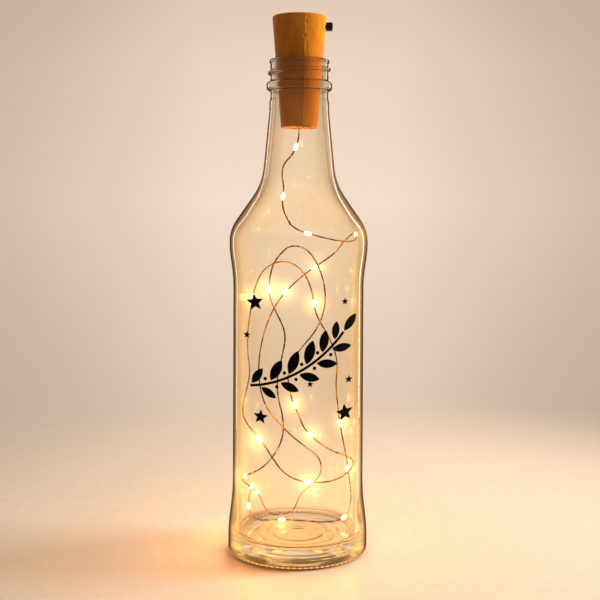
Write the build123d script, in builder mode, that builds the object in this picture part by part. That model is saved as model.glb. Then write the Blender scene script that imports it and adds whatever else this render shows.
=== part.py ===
from build123d import *
import os
from math import atan2, cos, degrees, pi, radians, sin, sqrt, tan

# Cork bottle light: a screw-neck glass bottle, a hollow stopper with its battery
# case and switch, and a string of twenty small lights that stands inside the bottle.
# Millimetres. The origin is the middle of the ring that the bottle stands on, +Z is
# up, the decals face -Y, and the switch stands out of the stopper towards +X.

os.makedirs("parts", exist_ok=True)

# Driving dimensions: the bottle from its foot up. The body's radius sets the foot and the
# bulge, and the mouth's radius sets the neck and its finish, each by a wall or a step.
foot_flare = 2.0
foot_band_height = 11.0
foot_taper_height = 16.5
body_low_radius = 29.1
body_taper = 0.4
body_height = 95.0
bulge_swell = 1.7
bulge_rise = 12.5
bulge_height = 8.5
shoulder_height = 20.4
neck_flare = 3.11
neck_height = 31.1
neck_top_wall = 2.55
collar_height = 4.0
groove_wall = 2.1
groove_height = 3.2
groove_slope = 1.2
bead_wall = 3.8
bead_height = 4.6
bead_slope = 0.9
finish_wall = 2.05
finish_height = 7.7
lip_wall = 2.5
lip_height = 1.5

# Driving dimensions: the bottle's walls, floor and push-up
body_wall = 2.0
shoulder_wall = 2.2
neck_wall = 2.45
floor_height = 7.0
floor_crown = 1.2
push_up_height = 3.6
push_up_slope_width = 5.6
push_up_edge_height = 2.2
heel_width = 4.0

# Driving dimensions: the screw thread on the finish
thread_depth = 1.05
thread_pitch = 3.2
thread_turns = 1.5
thread_root_width = 2.0
thread_crest_width = 0.7
thread_drop = 2.3

# Driving dimensions: the stopper
cork_insertion = 29.54
cork_skirt_wall = 2.55
cork_rim = 2.65
cork_top_round = 1.0
cork_bottom_round = 0.6
cork_fit_clearance = 0.15
cork_floor = 3.0
lead_room_radius = 5.4
lead_room_height = 15.5
web_thickness = 2.0
web_hole_radius = 2.4

# Driving dimensions: the battery case and what it holds
cell_radius = 5.8
cell_height = 5.4
cell_count = 3
cell_clearance = 0.5
cell_gap = 0.05
case_clearance = 0.2
case_wall = 1.3
case_floor = 1.2
lid_overhang = 1.4
lid_thickness = 1.4
lid_ring_depth = 0.9
lid_ring_wall = 0.9
lid_round = 0.5
strip_thickness = 0.25
strip_width = 4.0
contact_rise = 1.2
plus_leg_height = 1.2
board_thickness = 0.8
board_clearance = 0.1
board_gap = 0.02

# Driving dimensions: the slide switch
switch_length = 7.0
switch_depth = 3.4
switch_height = 3.9
switch_clearance = 0.28
switch_head_room = 0.24
switch_round = 0.3
switch_travel = 2.0
lever_width = 1.8
lever_height = 1.6
lever_clearance = 0.35
knob_width = 3.2
knob_height = 3.5
knob_stand_off = 2.45
knob_round = 0.45
pin_radius = 0.3
pin_length = 1.5
pin_pitch = 2.2
resistor_length = 2.0
resistor_width = 1.25
resistor_height = 0.5

# Driving dimensions: the string of lights
wire_diameter = 0.7
wire_clearance = 0.05
drop_length = 3.4
drop_radius = 1.05
drop_end_radius = 0.48
drop_clearance = 0.01
chip_length = 1.0
chip_width = 0.5
chip_height = 0.32
seal_length = 3.2
seal_radius = 0.75
grommet_flange_lap = 1.0
grommet_flange = 1.0
grommet_proud = 0.6
grommet_shank_radius = 1.5
grommet_fit = 0.1

# Driving dimensions: the decals
decal_thickness = 0.12
decal_gap = 0.02
decal_margin = 5.0

# Radii of the battery case and of the stopper round it
case_bore_radius = cell_radius + cell_clearance
case_radius = case_bore_radius + case_wall
lid_radius = case_radius + lid_overhang
pocket_radius = case_radius + case_clearance
case_recess_radius = lid_radius + case_clearance
cork_top_radius = case_recess_radius + cork_rim
cork_bottom_radius = lead_room_radius + cork_skirt_wall
cork_wire_hole_radius = grommet_shank_radius + grommet_fit
grommet_flange_radius = cork_wire_hole_radius + grommet_flange_lap

# The stopper is as long as what it holds
cell_stack_height = cell_count * (cell_height + cell_gap)
board_stack_height = plus_leg_height + board_gap + board_thickness + 2 * board_gap
case_height = case_floor + contact_rise + cell_gap + cell_stack_height + board_stack_height
case_height += switch_height + switch_head_room + lid_ring_depth
cork_length = cork_floor + lead_room_height + web_thickness + case_clearance + case_height
cork_length += lid_thickness

# The mouth is as wide as the stopper where it seats, and the rest of the neck follows it
cork_slope = (cork_top_radius - cork_bottom_radius) / cork_length
mouth_radius = cork_bottom_radius + cork_slope * cork_insertion + cork_fit_clearance
lip_radius = mouth_radius + lip_wall
finish_radius = mouth_radius + finish_wall
thread_radius = finish_radius + thread_depth
bead_radius = mouth_radius + bead_wall
groove_radius = mouth_radius + groove_wall
neck_top_radius = mouth_radius + neck_top_wall
neck_low_radius = neck_top_radius + neck_flare

# Radii of the body, the bulge and the foot
body_top_radius = body_low_radius - body_taper
bulge_radius = body_top_radius + bulge_swell
foot_radius = body_low_radius + foot_flare
stand_ring_radius = foot_radius - heel_width
push_up_edge_radius = stand_ring_radius - push_up_slope_width

# Heights that follow from the sizes above
foot_top = foot_band_height + foot_taper_height
body_top = foot_top + body_height
bulge_low = body_top + bulge_rise
bulge_top = bulge_low + bulge_height
neck_low = bulge_top + shoulder_height
neck_top = neck_low + neck_height
collar_top = neck_top + collar_height
groove_low = collar_top + groove_slope
bead_low = groove_low + groove_height
bead_top = bead_low + bead_height
finish_top = bead_top + finish_height
bottle_height = finish_top + lip_height

cork_bottom = bottle_height - cork_insertion
cork_top = cork_bottom + cork_length
lead_room_low = cork_bottom + cork_floor
lead_room_top = lead_room_low + lead_room_height
pocket_floor = lead_room_top + web_thickness
wire_start = lead_room_low + grommet_flange

# The battery case hangs by its lid, which lies flush in the stopper's top
lid_low = cork_top - lid_thickness
case_low = pocket_floor + case_clearance
chamber_low = case_low + case_floor
cells_low = chamber_low + contact_rise + cell_gap
cells_top = cells_low + cell_stack_height
board_low = cells_top + plus_leg_height + board_gap
board_top = board_low + board_thickness
switch_middle_height = board_top + switch_height / 2

# The switch stands as far out on its board as its outer corners allow
switch_corner_radius = case_bore_radius - switch_clearance
switch_offset = sqrt(switch_corner_radius**2 - (switch_length / 2) ** 2) - switch_depth / 2

wire_radius = wire_diameter / 2

# The route of the upper stretch, from the stopper to the right of the shoulder
upper_route = [
    (0, 0, wire_start), (0, 0, 187), (-0.3, -1, 182.5), (-2.5, -1.5, 176.5), (-7, -1, 172),
    (-7.5, 0, 166.5), (-6.5, 0.5, 161.5), (-7.5, -1, 154), (-5, -2.5, 147.5), (0, -4.5, 143.5),
    (8, -6, 141), (16.5, -7, 139), (23, -7, 138.5), (25.5, -5, 140.5), (25, 0.5, 143.5),
    (22.5, 5, 140.5),
]
# The route of the lower stretch, round and round the wall to the sealed end
lower_route = [
    (22.5, 5, 140.5), (20, 9.5, 137.5), (17, 16, 133), (10.5, 21.5, 128.5), (4, 24, 124),
    (-2.5, 25, 118), (-9, 24, 110.5), (-14, 21.5, 102), (-17.5, 18.5, 92.5), (-19, 17, 82.5),
    (-18.5, 17.5, 71.5), (-15.5, 20.5, 61), (-9.5, 24, 53), (-3, 25.5, 46), (4.5, 25, 40.5),
    (10.5, 23, 36.5), (11.5, 22.5, 29.5), (7, 24.5, 23), (1, 25, 17.5), (-0.5, 22.5, 11.5),
    (-3, 15.5, 9.8), (-8, 10.5, 9.8), (-13.5, 11.5, 9.8), (-17, 15.5, 13), (-18.5, 18, 18.5),
    (-21.5, 13.5, 23.5), (-24.8, 5, 29), (-24.8, -4, 33.5), (-20.5, -13.5, 37.5),
    (-14.5, -20, 42), (-9.5, -22.8, 48.5), (-6, -24, 56), (-6, -23.8, 64.5), (-8.5, -24, 74),
    (-8.5, -24.2, 83.5), (-6, -25, 93), (-5, -25.2, 101), (-8.5, -24.2, 108.5),
    (-12, -22.5, 115.5), (-12, -22.5, 123), (-10.5, -21.5, 130), (-7, -15.5, 134.5),
    (-3.5, -6, 137), (2, 5, 136), (7, 15, 131), (10.5, 20, 123.5), (12.5, 19.5, 115),
    (12, 19.8, 105), (8, 22.5, 95.5), (0.5, 24.5, 87), (-5.5, 24.5, 77), (-4, 25, 65),
    (0, 25.5, 56.5), (3, 25.4, 49.5), (9, 23.5, 44), (16.5, 18, 40.5), (23, 9, 41),
    (25.7, -2, 41), (22, -13.5, 39), (16, -20, 36.5), (8.5, -24, 36.5), (0.5, -25.3, 37.5),
    (-6, -24.8, 41), (-10.5, -23.3, 47), (-14, -21.5, 52.5), (-18, -18, 56.5),
    (-23, -10, 61), (-24.8, -1.5, 64.5), (-23.8, 6.5, 70), (-22, 10.5, 78.5), (-23.5, 9.5, 88),
    (-23.5, 9.5, 98), (-22.5, 12, 108), (-21, 14.5, 117), (-17, 18.5, 125), (-10, 23, 129),
    (-1.5, 25, 128), (4, 25.4, 121.5), (6.5, 24.5, 114), (8, 24, 103.5), (14.5, 21, 93.5),
    (18.5, 17.5, 83), (17.5, 18.8, 71.5), (19, 17.5, 59.5), (21, 15, 49), (23.5, 10.5, 39),
    (24.5, 7.5, 30), (25.4, 1.5, 22), (24.5, 3, 13), (20, 3.8, 9.6), (12.5, 1.5, 9.5),
    (5, 3, 9.5), (-3, 4.5, 9.5), (-12, 4.5, 9.5), (-19, 2.5, 10), (-23, 3.5, 13.5),
    (-23.8, 6, 19.5), (-22, 8.5, 24.5),
]
# How many runs of each route come before each run that carries a light in its middle
upper_runs_before_count = [2, 6, 9, 13]
lower_runs_before_count = [3, 5, 24, 27, 38, 51, 53, 60, 64, 72, 78, 83, 85, 88, 92, 95]
# The slack leads inside the stopper, between the grommet and the battery case
lead_route_low = [
    (0, 0), (0, 0.4), (1.8, 1.2), (0.6, -2), (-2.2, -0.8), (-0.8, 1.4), (0, 0.3), (0, 0),
]
lead_height_shares = [0, 0.12, 0.27, 0.42, 0.58, 0.74, 0.89, 1]
cord_share = 0.45


def corner_radius(before, corner, after, share):
    """The arc at a corner whose tangents take up a share of the shorter run beside it."""
    first = Vector(*corner) - Vector(*before)
    second = Vector(*after) - Vector(*corner)
    half_turn = radians(first.get_angle(second)) / 2
    return share * min(first.length, second.length) / tan(half_turn)


def corner_radii(points, shares):
    """The arc at each inner point of an outline or a route."""
    return [
        corner_radius(*points[place : place + 3], share)
        for place, share in enumerate(shares)
    ]


def inner_corner(before, corner, after, wall):
    """The corner of a line that stays one wall inside the two runs that meet here."""
    first = (Vector(*corner) - Vector(*before)).normalized()
    second = (Vector(*after) - Vector(*corner)).normalized()
    first_inward = Vector(-first.Y, first.X)
    inward = (first_inward + Vector(-second.Y, second.X)).normalized()
    moved = Vector(*corner) + inward * (wall / inward.dot(first_inward))
    return (moved.X, moved.Y)


def save(part, node):
    """Names a finished piece and writes it."""
    part.label = node
    export_step(part, f"parts/{node}.step")


# Bottle
heel_corner = (foot_radius, 0)
foot_corner = (foot_radius, foot_band_height)
body_low_corner = (body_low_radius, foot_top)
body_top_corner = (body_top_radius, body_top)
bulge_low_corner = (bulge_radius, bulge_low)
bulge_top_corner = (bulge_radius, bulge_top)
neck_low_corner = (neck_low_radius, neck_low)
neck_top_corner = (neck_top_radius, neck_top)
outer_corners = [
    (0, push_up_height),
    (push_up_edge_radius, push_up_edge_height),
    (stand_ring_radius, 0),
    heel_corner,
    foot_corner,
    body_low_corner,
    body_top_corner,
    bulge_low_corner,
    bulge_top_corner,
    neck_low_corner,
    neck_top_corner,
    (neck_top_radius, collar_top),
    (groove_radius, groove_low),
    (groove_radius, bead_low),
    (bead_radius, bead_low + bead_slope),
    (bead_radius, bead_top - bead_slope),
    (finish_radius, bead_top),
    (finish_radius, finish_top),
    (lip_radius, finish_top),
    (lip_radius, bottle_height),
    (mouth_radius, bottle_height),
]
outer_shares = [0.4, 0.08, 0.7, 0.3, 0.3, 0.3, 0.35, 0.6, 0.27, 0.4]
outer_shares += [0.4, 0.4, 0.4, 0.45, 0.45, 0.3, 0.1, 0.4, 0.45, 0.4]
inner_corners = [
    (mouth_radius, neck_top),
    inner_corner(bulge_top_corner, neck_low_corner, neck_top_corner, neck_wall),
    inner_corner(bulge_low_corner, bulge_top_corner, neck_low_corner, shoulder_wall),
    inner_corner(body_top_corner, bulge_low_corner, bulge_top_corner, shoulder_wall),
    inner_corner(body_low_corner, body_top_corner, bulge_low_corner, body_wall),
    (body_low_radius - body_wall, foot_top),
    (body_low_radius - body_wall, floor_height),
    (0, floor_height + floor_crown),
]
inner_shares = [0.2, 0.27, 0.55, 0.35, 0.3, 0.2, 0.22]
bottle_corners = outer_corners + inner_corners
bottle_radii = corner_radii(bottle_corners, outer_shares + inner_shares)

thread_low = finish_top - thread_drop / 2 - thread_pitch * thread_turns
thread_depth_in_glass = (finish_radius - mouth_radius) / 2

with BuildPart() as bottle_glass:
    with BuildSketch(Plane.XZ):
        with BuildLine():
            FilletPolyline(*bottle_corners, radius=bottle_radii)
            Line(bottle_corners[-1], bottle_corners[0])
        make_face()
    revolve(axis=Axis.Z)
    with BuildLine() as thread_path:
        Helix(
            pitch=thread_pitch,
            height=thread_pitch * thread_turns,
            radius=finish_radius,
            center=(0, 0, thread_low),
        )
    with BuildSketch(Plane(origin=thread_path.line @ 0, x_dir=(1, 0, 0), z_dir=(0, -1, 0))):
        with BuildLine():
            Polyline(
                (-thread_depth_in_glass, -thread_root_width / 2),
                (0, -thread_root_width / 2),
                (thread_radius - finish_radius, -thread_crest_width / 2),
                (thread_radius - finish_radius, thread_crest_width / 2),
                (0, thread_root_width / 2),
                (-thread_depth_in_glass, thread_root_width / 2),
                close=True,
            )
        make_face()
    sweep(path=thread_path.line, is_frenet=True)
save(bottle_glass.part, "bottle_glass")

# Stopper
recess_floor = lid_low - case_clearance
lever_low = switch_middle_height - lever_height / 2 - lever_clearance
lever_slot_width = lever_width + switch_travel + 2 * lever_clearance

with BuildPart() as cork_shell:
    with BuildSketch(Plane.XZ) as cork_section:
        with BuildLine():
            Polyline(
                (cork_wire_hole_radius, cork_bottom),
                (cork_bottom_radius, cork_bottom),
                (cork_top_radius, cork_top),
                (case_recess_radius, cork_top),
                (case_recess_radius, recess_floor),
                (pocket_radius, recess_floor),
                (pocket_radius, pocket_floor),
                (web_hole_radius, pocket_floor),
                (web_hole_radius, lead_room_top),
                (lead_room_radius, lead_room_top),
                (lead_room_radius, lead_room_low),
                (cork_wire_hole_radius, lead_room_low),
                close=True,
            )
        make_face()
        for radius, height, rounding in (
            (cork_top_radius, cork_top, cork_top_round),
            (cork_bottom_radius, cork_bottom, cork_bottom_round),
        ):
            corner = cork_section.vertices().sort_by_distance(Vector(radius, height))[0]
            fillet(corner, rounding)
    revolve(axis=Axis.Z)
    with BuildSketch(Plane.XY.offset(lever_low)):
        with Locations((cork_top_radius, 0)):
            Rectangle(cork_top_radius, lever_slot_width)
    extrude(amount=cork_top - lever_low, mode=Mode.SUBTRACT)
save(cork_shell.part, "cork_shell")

# Battery case, a cup with a notch for the switch lever and a hole for the leads
notch_low = lever_low - case_clearance
lead_hole_radius = wire_radius + lever_clearance

with BuildPart() as battery_case:
    with BuildSketch(Plane.XZ):
        with BuildLine():
            Polyline(
                (lead_hole_radius, case_low),
                (case_radius, case_low),
                (case_radius, lid_low),
                (case_bore_radius, lid_low),
                (case_bore_radius, chamber_low),
                (lead_hole_radius, chamber_low),
                close=True,
            )
        make_face()
    revolve(axis=Axis.Z)
    with BuildSketch(Plane.XY.offset(notch_low)):
        with Locations((case_radius, 0)):
            Rectangle(case_radius, lever_slot_width)
    extrude(amount=lid_low - notch_low, mode=Mode.SUBTRACT)
save(battery_case.part, "battery_case")

lid_ring_radius = case_bore_radius - board_clearance

with BuildPart() as case_lid:
    with BuildSketch(Plane.XY.offset(lid_low)):
        Circle(lid_radius)
    extrude(amount=lid_thickness)
    fillet(case_lid.edges().group_by(Axis.Z)[-1], lid_round)
    with BuildSketch(Plane.XY.offset(lid_low)):
        Circle(lid_ring_radius)
        Circle(lid_ring_radius - lid_ring_wall, mode=Mode.SUBTRACT)
    extrude(amount=-lid_ring_depth)
    with BuildSketch(Plane.XY.offset(lid_low)):
        with Locations((lid_ring_radius, 0)):
            Rectangle(lid_ring_radius, lever_slot_width)
    extrude(amount=-lid_ring_depth, mode=Mode.SUBTRACT)
save(case_lid.part, "case_lid")

# Button cells, each with its stepped rim, plus side up
cell_rim_radius_share = 0.86
cell_rim_height_share = 0.12
cell_round_share = 0.05
cell_rim_radius = cell_radius * cell_rim_radius_share
cell_rim_height = cell_height * cell_rim_height_share
cell_round = cell_height * cell_round_share

for number in range(cell_count):
    cell_floor = cells_low + number * (cell_height + cell_gap)
    with BuildPart() as button_cell:
        with BuildSketch(Plane.XY.offset(cell_floor)):
            Circle(cell_rim_radius)
        extrude(amount=cell_rim_height)
        with BuildSketch(Plane.XY.offset(cell_floor + cell_rim_height)):
            Circle(cell_radius)
        extrude(amount=cell_height - cell_rim_height)
        fillet(button_cell.edges().group_by(Axis.Z)[-1], cell_round)
    save(button_cell.part, f"button_cell_{number + 1}")

# Contacts: a folded spring strip under the cells, with a riser, and a bridge over them
riser_middle = -(cell_radius + case_bore_radius) / 2
contact_reach_share = 0.72
contact_end_share = -0.45
contact_reach = cell_radius * contact_reach_share
contact_end = cell_radius * contact_end_share
contact_middle = chamber_low + strip_thickness / 2 + board_gap
contact_top = cells_low - cell_gap - strip_thickness / 2
riser_width = strip_width / 2

with BuildPart() as contact_minus:
    with BuildSketch(Plane.XZ):
        with BuildLine() as contact_line:
            Polyline(
                (riser_middle, contact_middle),
                (contact_reach, contact_middle),
                (contact_end, contact_top),
            )
        trace(line_width=strip_thickness)
    extrude(amount=strip_width / 2, both=True)
    with BuildSketch(Plane.XY.offset(contact_middle - strip_thickness / 2)):
        with Locations((riser_middle, 0)):
            Rectangle(strip_thickness, riser_width)
    extrude(amount=board_low - board_gap - contact_middle + strip_thickness / 2)
save(contact_minus.part, "contact_minus")

bridge_reach_share = 0.8
bridge_reach = cell_radius * bridge_reach_share
bridge_low = cells_top + board_gap

with BuildPart() as contact_plus:
    with BuildSketch(Plane.XY.offset(bridge_low)):
        Rectangle(2 * bridge_reach, strip_width)
    extrude(amount=strip_thickness)
    with BuildSketch(Plane.XY.offset(bridge_low)):
        with GridLocations(2 * bridge_reach - strip_thickness, 0, 2, 1):
            Rectangle(strip_thickness, strip_width)
    extrude(amount=board_low - board_gap - bridge_low)
save(contact_plus.part, "contact_plus")

# Circuit board with its slide switch and resistor
board_radius = case_bore_radius - board_clearance
pin_hole_radius = pin_radius + board_clearance
pin_top = board_top + board_gap

with BuildPart() as circuit_board:
    with BuildSketch(Plane.XY.offset(board_low)):
        Circle(board_radius)
        with Locations((switch_offset, 0)):
            with GridLocations(0, pin_pitch, 1, 3):
                Circle(pin_hole_radius, mode=Mode.SUBTRACT)
    extrude(amount=board_thickness)
save(circuit_board.part, "circuit_board")

with BuildPart() as switch_pins:
    with BuildSketch(Plane.XY.offset(pin_top)):
        with Locations((switch_offset, 0)):
            with GridLocations(0, pin_pitch, 1, 3):
                Circle(pin_radius)
    extrude(amount=-pin_length)
save(switch_pins.part, "switch_pins")

lever_back = switch_offset
switch_low = pin_top + board_gap

with BuildPart() as switch_housing:
    with BuildSketch(Plane.XY.offset(switch_low)):
        with Locations((switch_offset, 0)):
            Rectangle(switch_depth, switch_length)
    extrude(amount=switch_height)
    fillet(switch_housing.edges().filter_by(Axis.Z), switch_round)
    with BuildSketch(Plane.YZ.offset(lever_back - lever_clearance)):
        with Locations((0, switch_middle_height)):
            Rectangle(lever_slot_width, lever_height + 2 * lever_clearance)
    extrude(amount=switch_depth, mode=Mode.SUBTRACT)
save(switch_housing.part, "switch_housing")

resistor_place = -board_radius / 2

with BuildPart() as resistor:
    with BuildSketch(Plane.XY.offset(board_top + board_gap)):
        with Locations((resistor_place, 0)):
            Rectangle(resistor_width, resistor_length)
    extrude(amount=resistor_height)
save(resistor.part, "resistor")

# Switch knob, at its ON end: a flat lever, a ribbed head outside the stopper, and between them a
# neck as high as the head but no wider than the lever, so that it passes up the slot
lever_place = -switch_travel / 2
knob_low = switch_middle_height - knob_height / 2
neck_back = cork_top_radius - cork_slope * (cork_top - knob_low) + case_clearance
knob_back = cork_top_radius + 2 * case_clearance
knob_reach = cork_top_radius + knob_stand_off
rib_count = 3
rib_depth = knob_round / 2
rib_pitch = knob_height / (rib_count + 1)

with BuildPart() as switch_knob:
    with BuildSketch(Plane.YZ.offset(lever_back)):
        with Locations((lever_place, switch_middle_height)):
            Rectangle(lever_width, lever_height)
    extrude(amount=knob_back - lever_back)
    with BuildSketch(Plane.YZ.offset(neck_back)):
        with Locations((lever_place, switch_middle_height)):
            Rectangle(lever_width, knob_height)
    extrude(amount=knob_back - neck_back)
    with BuildSketch(Plane.YZ.offset(knob_back)):
        with Locations((lever_place, switch_middle_height)):
            RectangleRounded(knob_width, knob_height, knob_round)
    extrude(amount=knob_reach - rib_depth - knob_back)
    with BuildSketch(Plane.YZ.offset(knob_reach - rib_depth)):
        with Locations((lever_place, switch_middle_height)):
            with GridLocations(0, rib_pitch, 1, rib_count):
                Rectangle(knob_width - 2 * knob_round, rib_pitch / 2)
    extrude(amount=rib_depth)
save(switch_knob.part, "switch_knob")

# Grommet that the string leaves the stopper through
grommet_bore_radius = wire_radius + wire_clearance
grommet_low = cork_bottom - grommet_proud

with BuildPart() as wire_grommet:
    with BuildSketch(Plane.XZ):
        with BuildLine():
            Polyline(
                (grommet_bore_radius, grommet_low),
                (grommet_shank_radius - wire_clearance, grommet_low),
                (grommet_shank_radius, cork_bottom),
                (grommet_shank_radius, lead_room_low),
                (grommet_flange_radius, lead_room_low),
                (grommet_flange_radius, wire_start),
                (grommet_bore_radius, wire_start),
                close=True,
            )
        make_face()
    revolve(axis=Axis.Z)
save(wire_grommet.part, "wire_grommet")


def cord_radii(route):
    """The arcs of a cord's route, each as large as its two runs allow."""
    return corner_radii(route, [cord_share] * (len(route) - 2))


def wire_tube(route, diameter, radii):
    """A round tube along a route of straight runs joined by tangent arcs."""
    with BuildPart() as tube:
        with BuildLine() as path:
            FilletPolyline(*route, radius=radii)
        with BuildSketch(Plane(origin=path.line @ 0, z_dir=path.line % 0)):
            Circle(diameter / 2)
        sweep(path=path.line)
    return tube.part


def report_wire(node, route, part, radii):
    """Prints how a cord's arcs and volume compare with its diameter and length."""
    with BuildLine() as path:
        FilletPolyline(*route, radius=radii)
    length = path.wire().length
    share = part.volume / (pi * wire_radius**2 * length)
    print(f"{node}: {length:.1f} mm long, smallest arc {min(radii):.2f} mm, volume share {share:.4f}")


# The string: slack leads in the stopper, the upper stretch and the lower stretch
lead_span = case_low - wire_start
lead_route = [
    (*place, wire_start + share * lead_span)
    for place, share in zip(lead_route_low, lead_height_shares)
]
for node, route in (
    ("lead_wires", lead_route),
    ("wire_upper", upper_route),
    ("wire_lower", lower_route),
):
    route_radii = cord_radii(route)
    cord = wire_tube(route, wire_diameter, route_radii)
    report_wire(node, route, cord, route_radii)
    save(cord, node)

with BuildPart() as wire_end_seal:
    seal_way = (Vector(*lower_route[-1]) - Vector(*lower_route[-2])).normalized()
    with BuildSketch(Plane(origin=Vector(*lower_route[-1]), z_dir=seal_way)):
        Circle(seal_radius)
    extrude(amount=seal_length)
    fillet(wire_end_seal.edges(), seal_radius / 2)
save(wire_end_seal.part, "wire_end_seal")


def light_plane(route, run):
    """A plane at the middle of a run, with Y along the wire and X away from the bottle's axis."""
    start, end = Vector(*route[run]), Vector(*route[run + 1])
    middle = (start + end) / 2
    along = (end - start).normalized()
    outward = Vector(middle.X, middle.Y, 0)
    across = (outward - along * outward.dot(along)).normalized()
    return Plane(origin=middle, x_dir=across, z_dir=across.cross(along))


def light_chip(plane, growth=0):
    """The chip of one light, beside the wire, or with growth the pocket that holds it."""
    with BuildPart() as chip:
        with BuildSketch(plane):
            with Locations((-wire_radius - 2 * drop_clearance - chip_height / 2, 0)):
                Rectangle(chip_height + growth, chip_length + growth)
        extrude(amount=(chip_width + growth) / 2, both=True)
    return chip.part


def light_drop(route, radii, run):
    """The spindle-shaped resin drop round the wire at a light, with room for the wire and chip."""
    plane = light_plane(route, run)
    near_route = route[run - 1 : run + 3]
    near_wire = wire_tube(near_route, wire_diameter + 2 * drop_clearance, radii[run - 1 : run + 1])
    with BuildPart() as drop:
        with BuildSketch(plane):
            with BuildLine():
                ThreePointArc(
                    (drop_end_radius, -drop_length / 2),
                    (drop_radius, 0),
                    (drop_end_radius, drop_length / 2),
                )
                Polyline(
                    (drop_end_radius, drop_length / 2),
                    (0, drop_length / 2),
                    (0, -drop_length / 2),
                    (drop_end_radius, -drop_length / 2),
                )
            make_face()
        revolve(axis=Axis(plane.origin, plane.y_dir))
        add(light_chip(plane, drop_clearance), mode=Mode.SUBTRACT)
        add(near_wire, mode=Mode.SUBTRACT)
    return drop.part


first_lower_light = len(upper_runs_before_count)
for node, route, runs, lights_before in (
    ("led_chips_upper", upper_route, upper_runs_before_count, 0),
    ("led_chips_lower", lower_route, lower_runs_before_count, first_lower_light),
):
    route_radii = cord_radii(route)
    chips = []
    for number, run in enumerate(runs):
        drop_node = f"led_drop_{lights_before + number + 1:02d}"
        save(light_drop(route, route_radii, run), drop_node)
        chips.append(light_chip(light_plane(route, run)))
    with BuildPart() as led_chips:
        add(chips)
    save(led_chips.part, node)


# Decals: thin vinyl pieces cut from a skin that follows the bottle's front. Their artwork is
# laid out in shares of the body's radius, so that it keeps its form on any bottle.
def body_radius(height):
    """The outer radius of the bottle's straight body at a height."""
    taper = (body_top_radius - body_low_radius) / body_height
    return body_low_radius + taper * (height - foot_top)


def front_place(across_share, down_share):
    """A place on the front, from shares of the body's radius, across and down from its top."""
    return (across_share * body_low_radius, body_top - down_share * body_low_radius)


skin_low = foot_top + decal_margin
skin_high = body_top - decal_margin
with BuildPart() as decal_skin:
    with BuildSketch(Plane.XZ):
        with BuildLine():
            Polyline(
                (body_radius(skin_low) + decal_gap, skin_low),
                (body_radius(skin_low) + decal_gap + decal_thickness, skin_low),
                (body_radius(skin_high) + decal_gap + decal_thickness, skin_high),
                (body_radius(skin_high) + decal_gap, skin_high),
                close=True,
            )
        make_face()
    revolve(axis=Axis.Z)


def save_decal(outline, node):
    """Cuts a decal out of the skin along a flat outline seen from the front, and writes it."""
    with BuildPart() as decal:
        with BuildSketch(Plane.XZ):
            add(outline)
        extrude(amount=foot_radius)
        add(decal_skin.part, mode=Mode.INTERSECT)
    save(decal.part, node)


star_points = 5
star_waist_share = 0.46
# Each star: its place across and down the front, its width, its turn in degrees
star_shares = [
    (-0.631, 0.307, 0.252, 8),
    (0.679, 0.294, 0.104, 0),
    (-0.752, 0.797, 0.107, 0),
    (0.175, 1.473, 0.099, 0),
    (0.746, 1.446, 0.118, -6),
    (0.687, 1.929, 0.257, 5),
    (-0.544, 1.978, 0.215, -4),
]


def star_outline(width, turn):
    """The corners of a star, from its top point round."""
    tip_radius = width / 2 / cos(pi / 10)
    corners = []
    for step in range(2 * star_points):
        reach = tip_radius * (star_waist_share if step % 2 else 1)
        angle = pi / 2 + step * pi / star_points + radians(turn)
        corners.append((reach * cos(angle), reach * sin(angle)))
    return corners


for number, (across, down, width_share, turn) in enumerate(star_shares):
    with BuildSketch() as star:
        with Locations(front_place(across, down)):
            Polygon(*star_outline(width_share * body_low_radius, turn), align=None)
    save_decal(star.sketch, f"star_decal_{number + 1}")

# Sprig: a stem that rises to the right, with leaves on both sides and berries between them
stem_shares = [(-0.7, 1.534), (0.1, 1.241), (0.66, 0.735)]
stem_width_share = 0.038
leaf_length_share = 0.361
leaf_width_share = 0.151
leaf_gap_share = 0.017
berry_radius_share = 0.026
berry_stand_off_share = 0.076
stem_width = stem_width_share * body_low_radius
leaf_length = leaf_length_share * body_low_radius
leaf_width = leaf_width_share * body_low_radius
leaf_gap = leaf_gap_share * body_low_radius
berry_radius = berry_radius_share * body_low_radius
berry_stand_off = berry_stand_off_share * body_low_radius
# Each leaf: how far along the stem, its side, its share of the longest leaf, its lean
leaf_shares = [
    (0.02, 1, 0.78, 46), (0.1, -1, 0.72, 46), (0.2, 1, 0.95, 45), (0.28, -1, 0.8, 45),
    (0.38, 1, 1.0, 44), (0.46, -1, 0.84, 43), (0.56, 1, 1.0, 42), (0.64, -1, 0.84, 41),
    (0.74, 1, 0.9, 40), (0.82, -1, 0.8, 38), (0.9, 1, 0.74, 36), (1.0, 0, 0.82, 0),
]
# Each berry: how far along the stem, and its side
berry_shares = [
    (0.155, 1), (0.235, -1), (0.345, 1), (0.415, -1), (0.525, 1), (0.6, -1), (0.705, 1), (0.78, -1),
]

with BuildSketch() as sprig_stem:
    with BuildLine() as stem_line:
        ThreePointArc(*[front_place(*place) for place in stem_shares])
    trace(line_width=stem_width)
save_decal(sprig_stem.sketch, "sprig_stem_decal")


def leaf_outline(length, width):
    """A pointed leaf along X, from its foot at zero."""
    with BuildSketch() as leaf:
        with BuildLine():
            ThreePointArc((0, 0), (length / 2, width / 2), (length, 0))
            ThreePointArc((length, 0), (length / 2, -width / 2), (0, 0))
        make_face()
    return leaf.sketch


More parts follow.
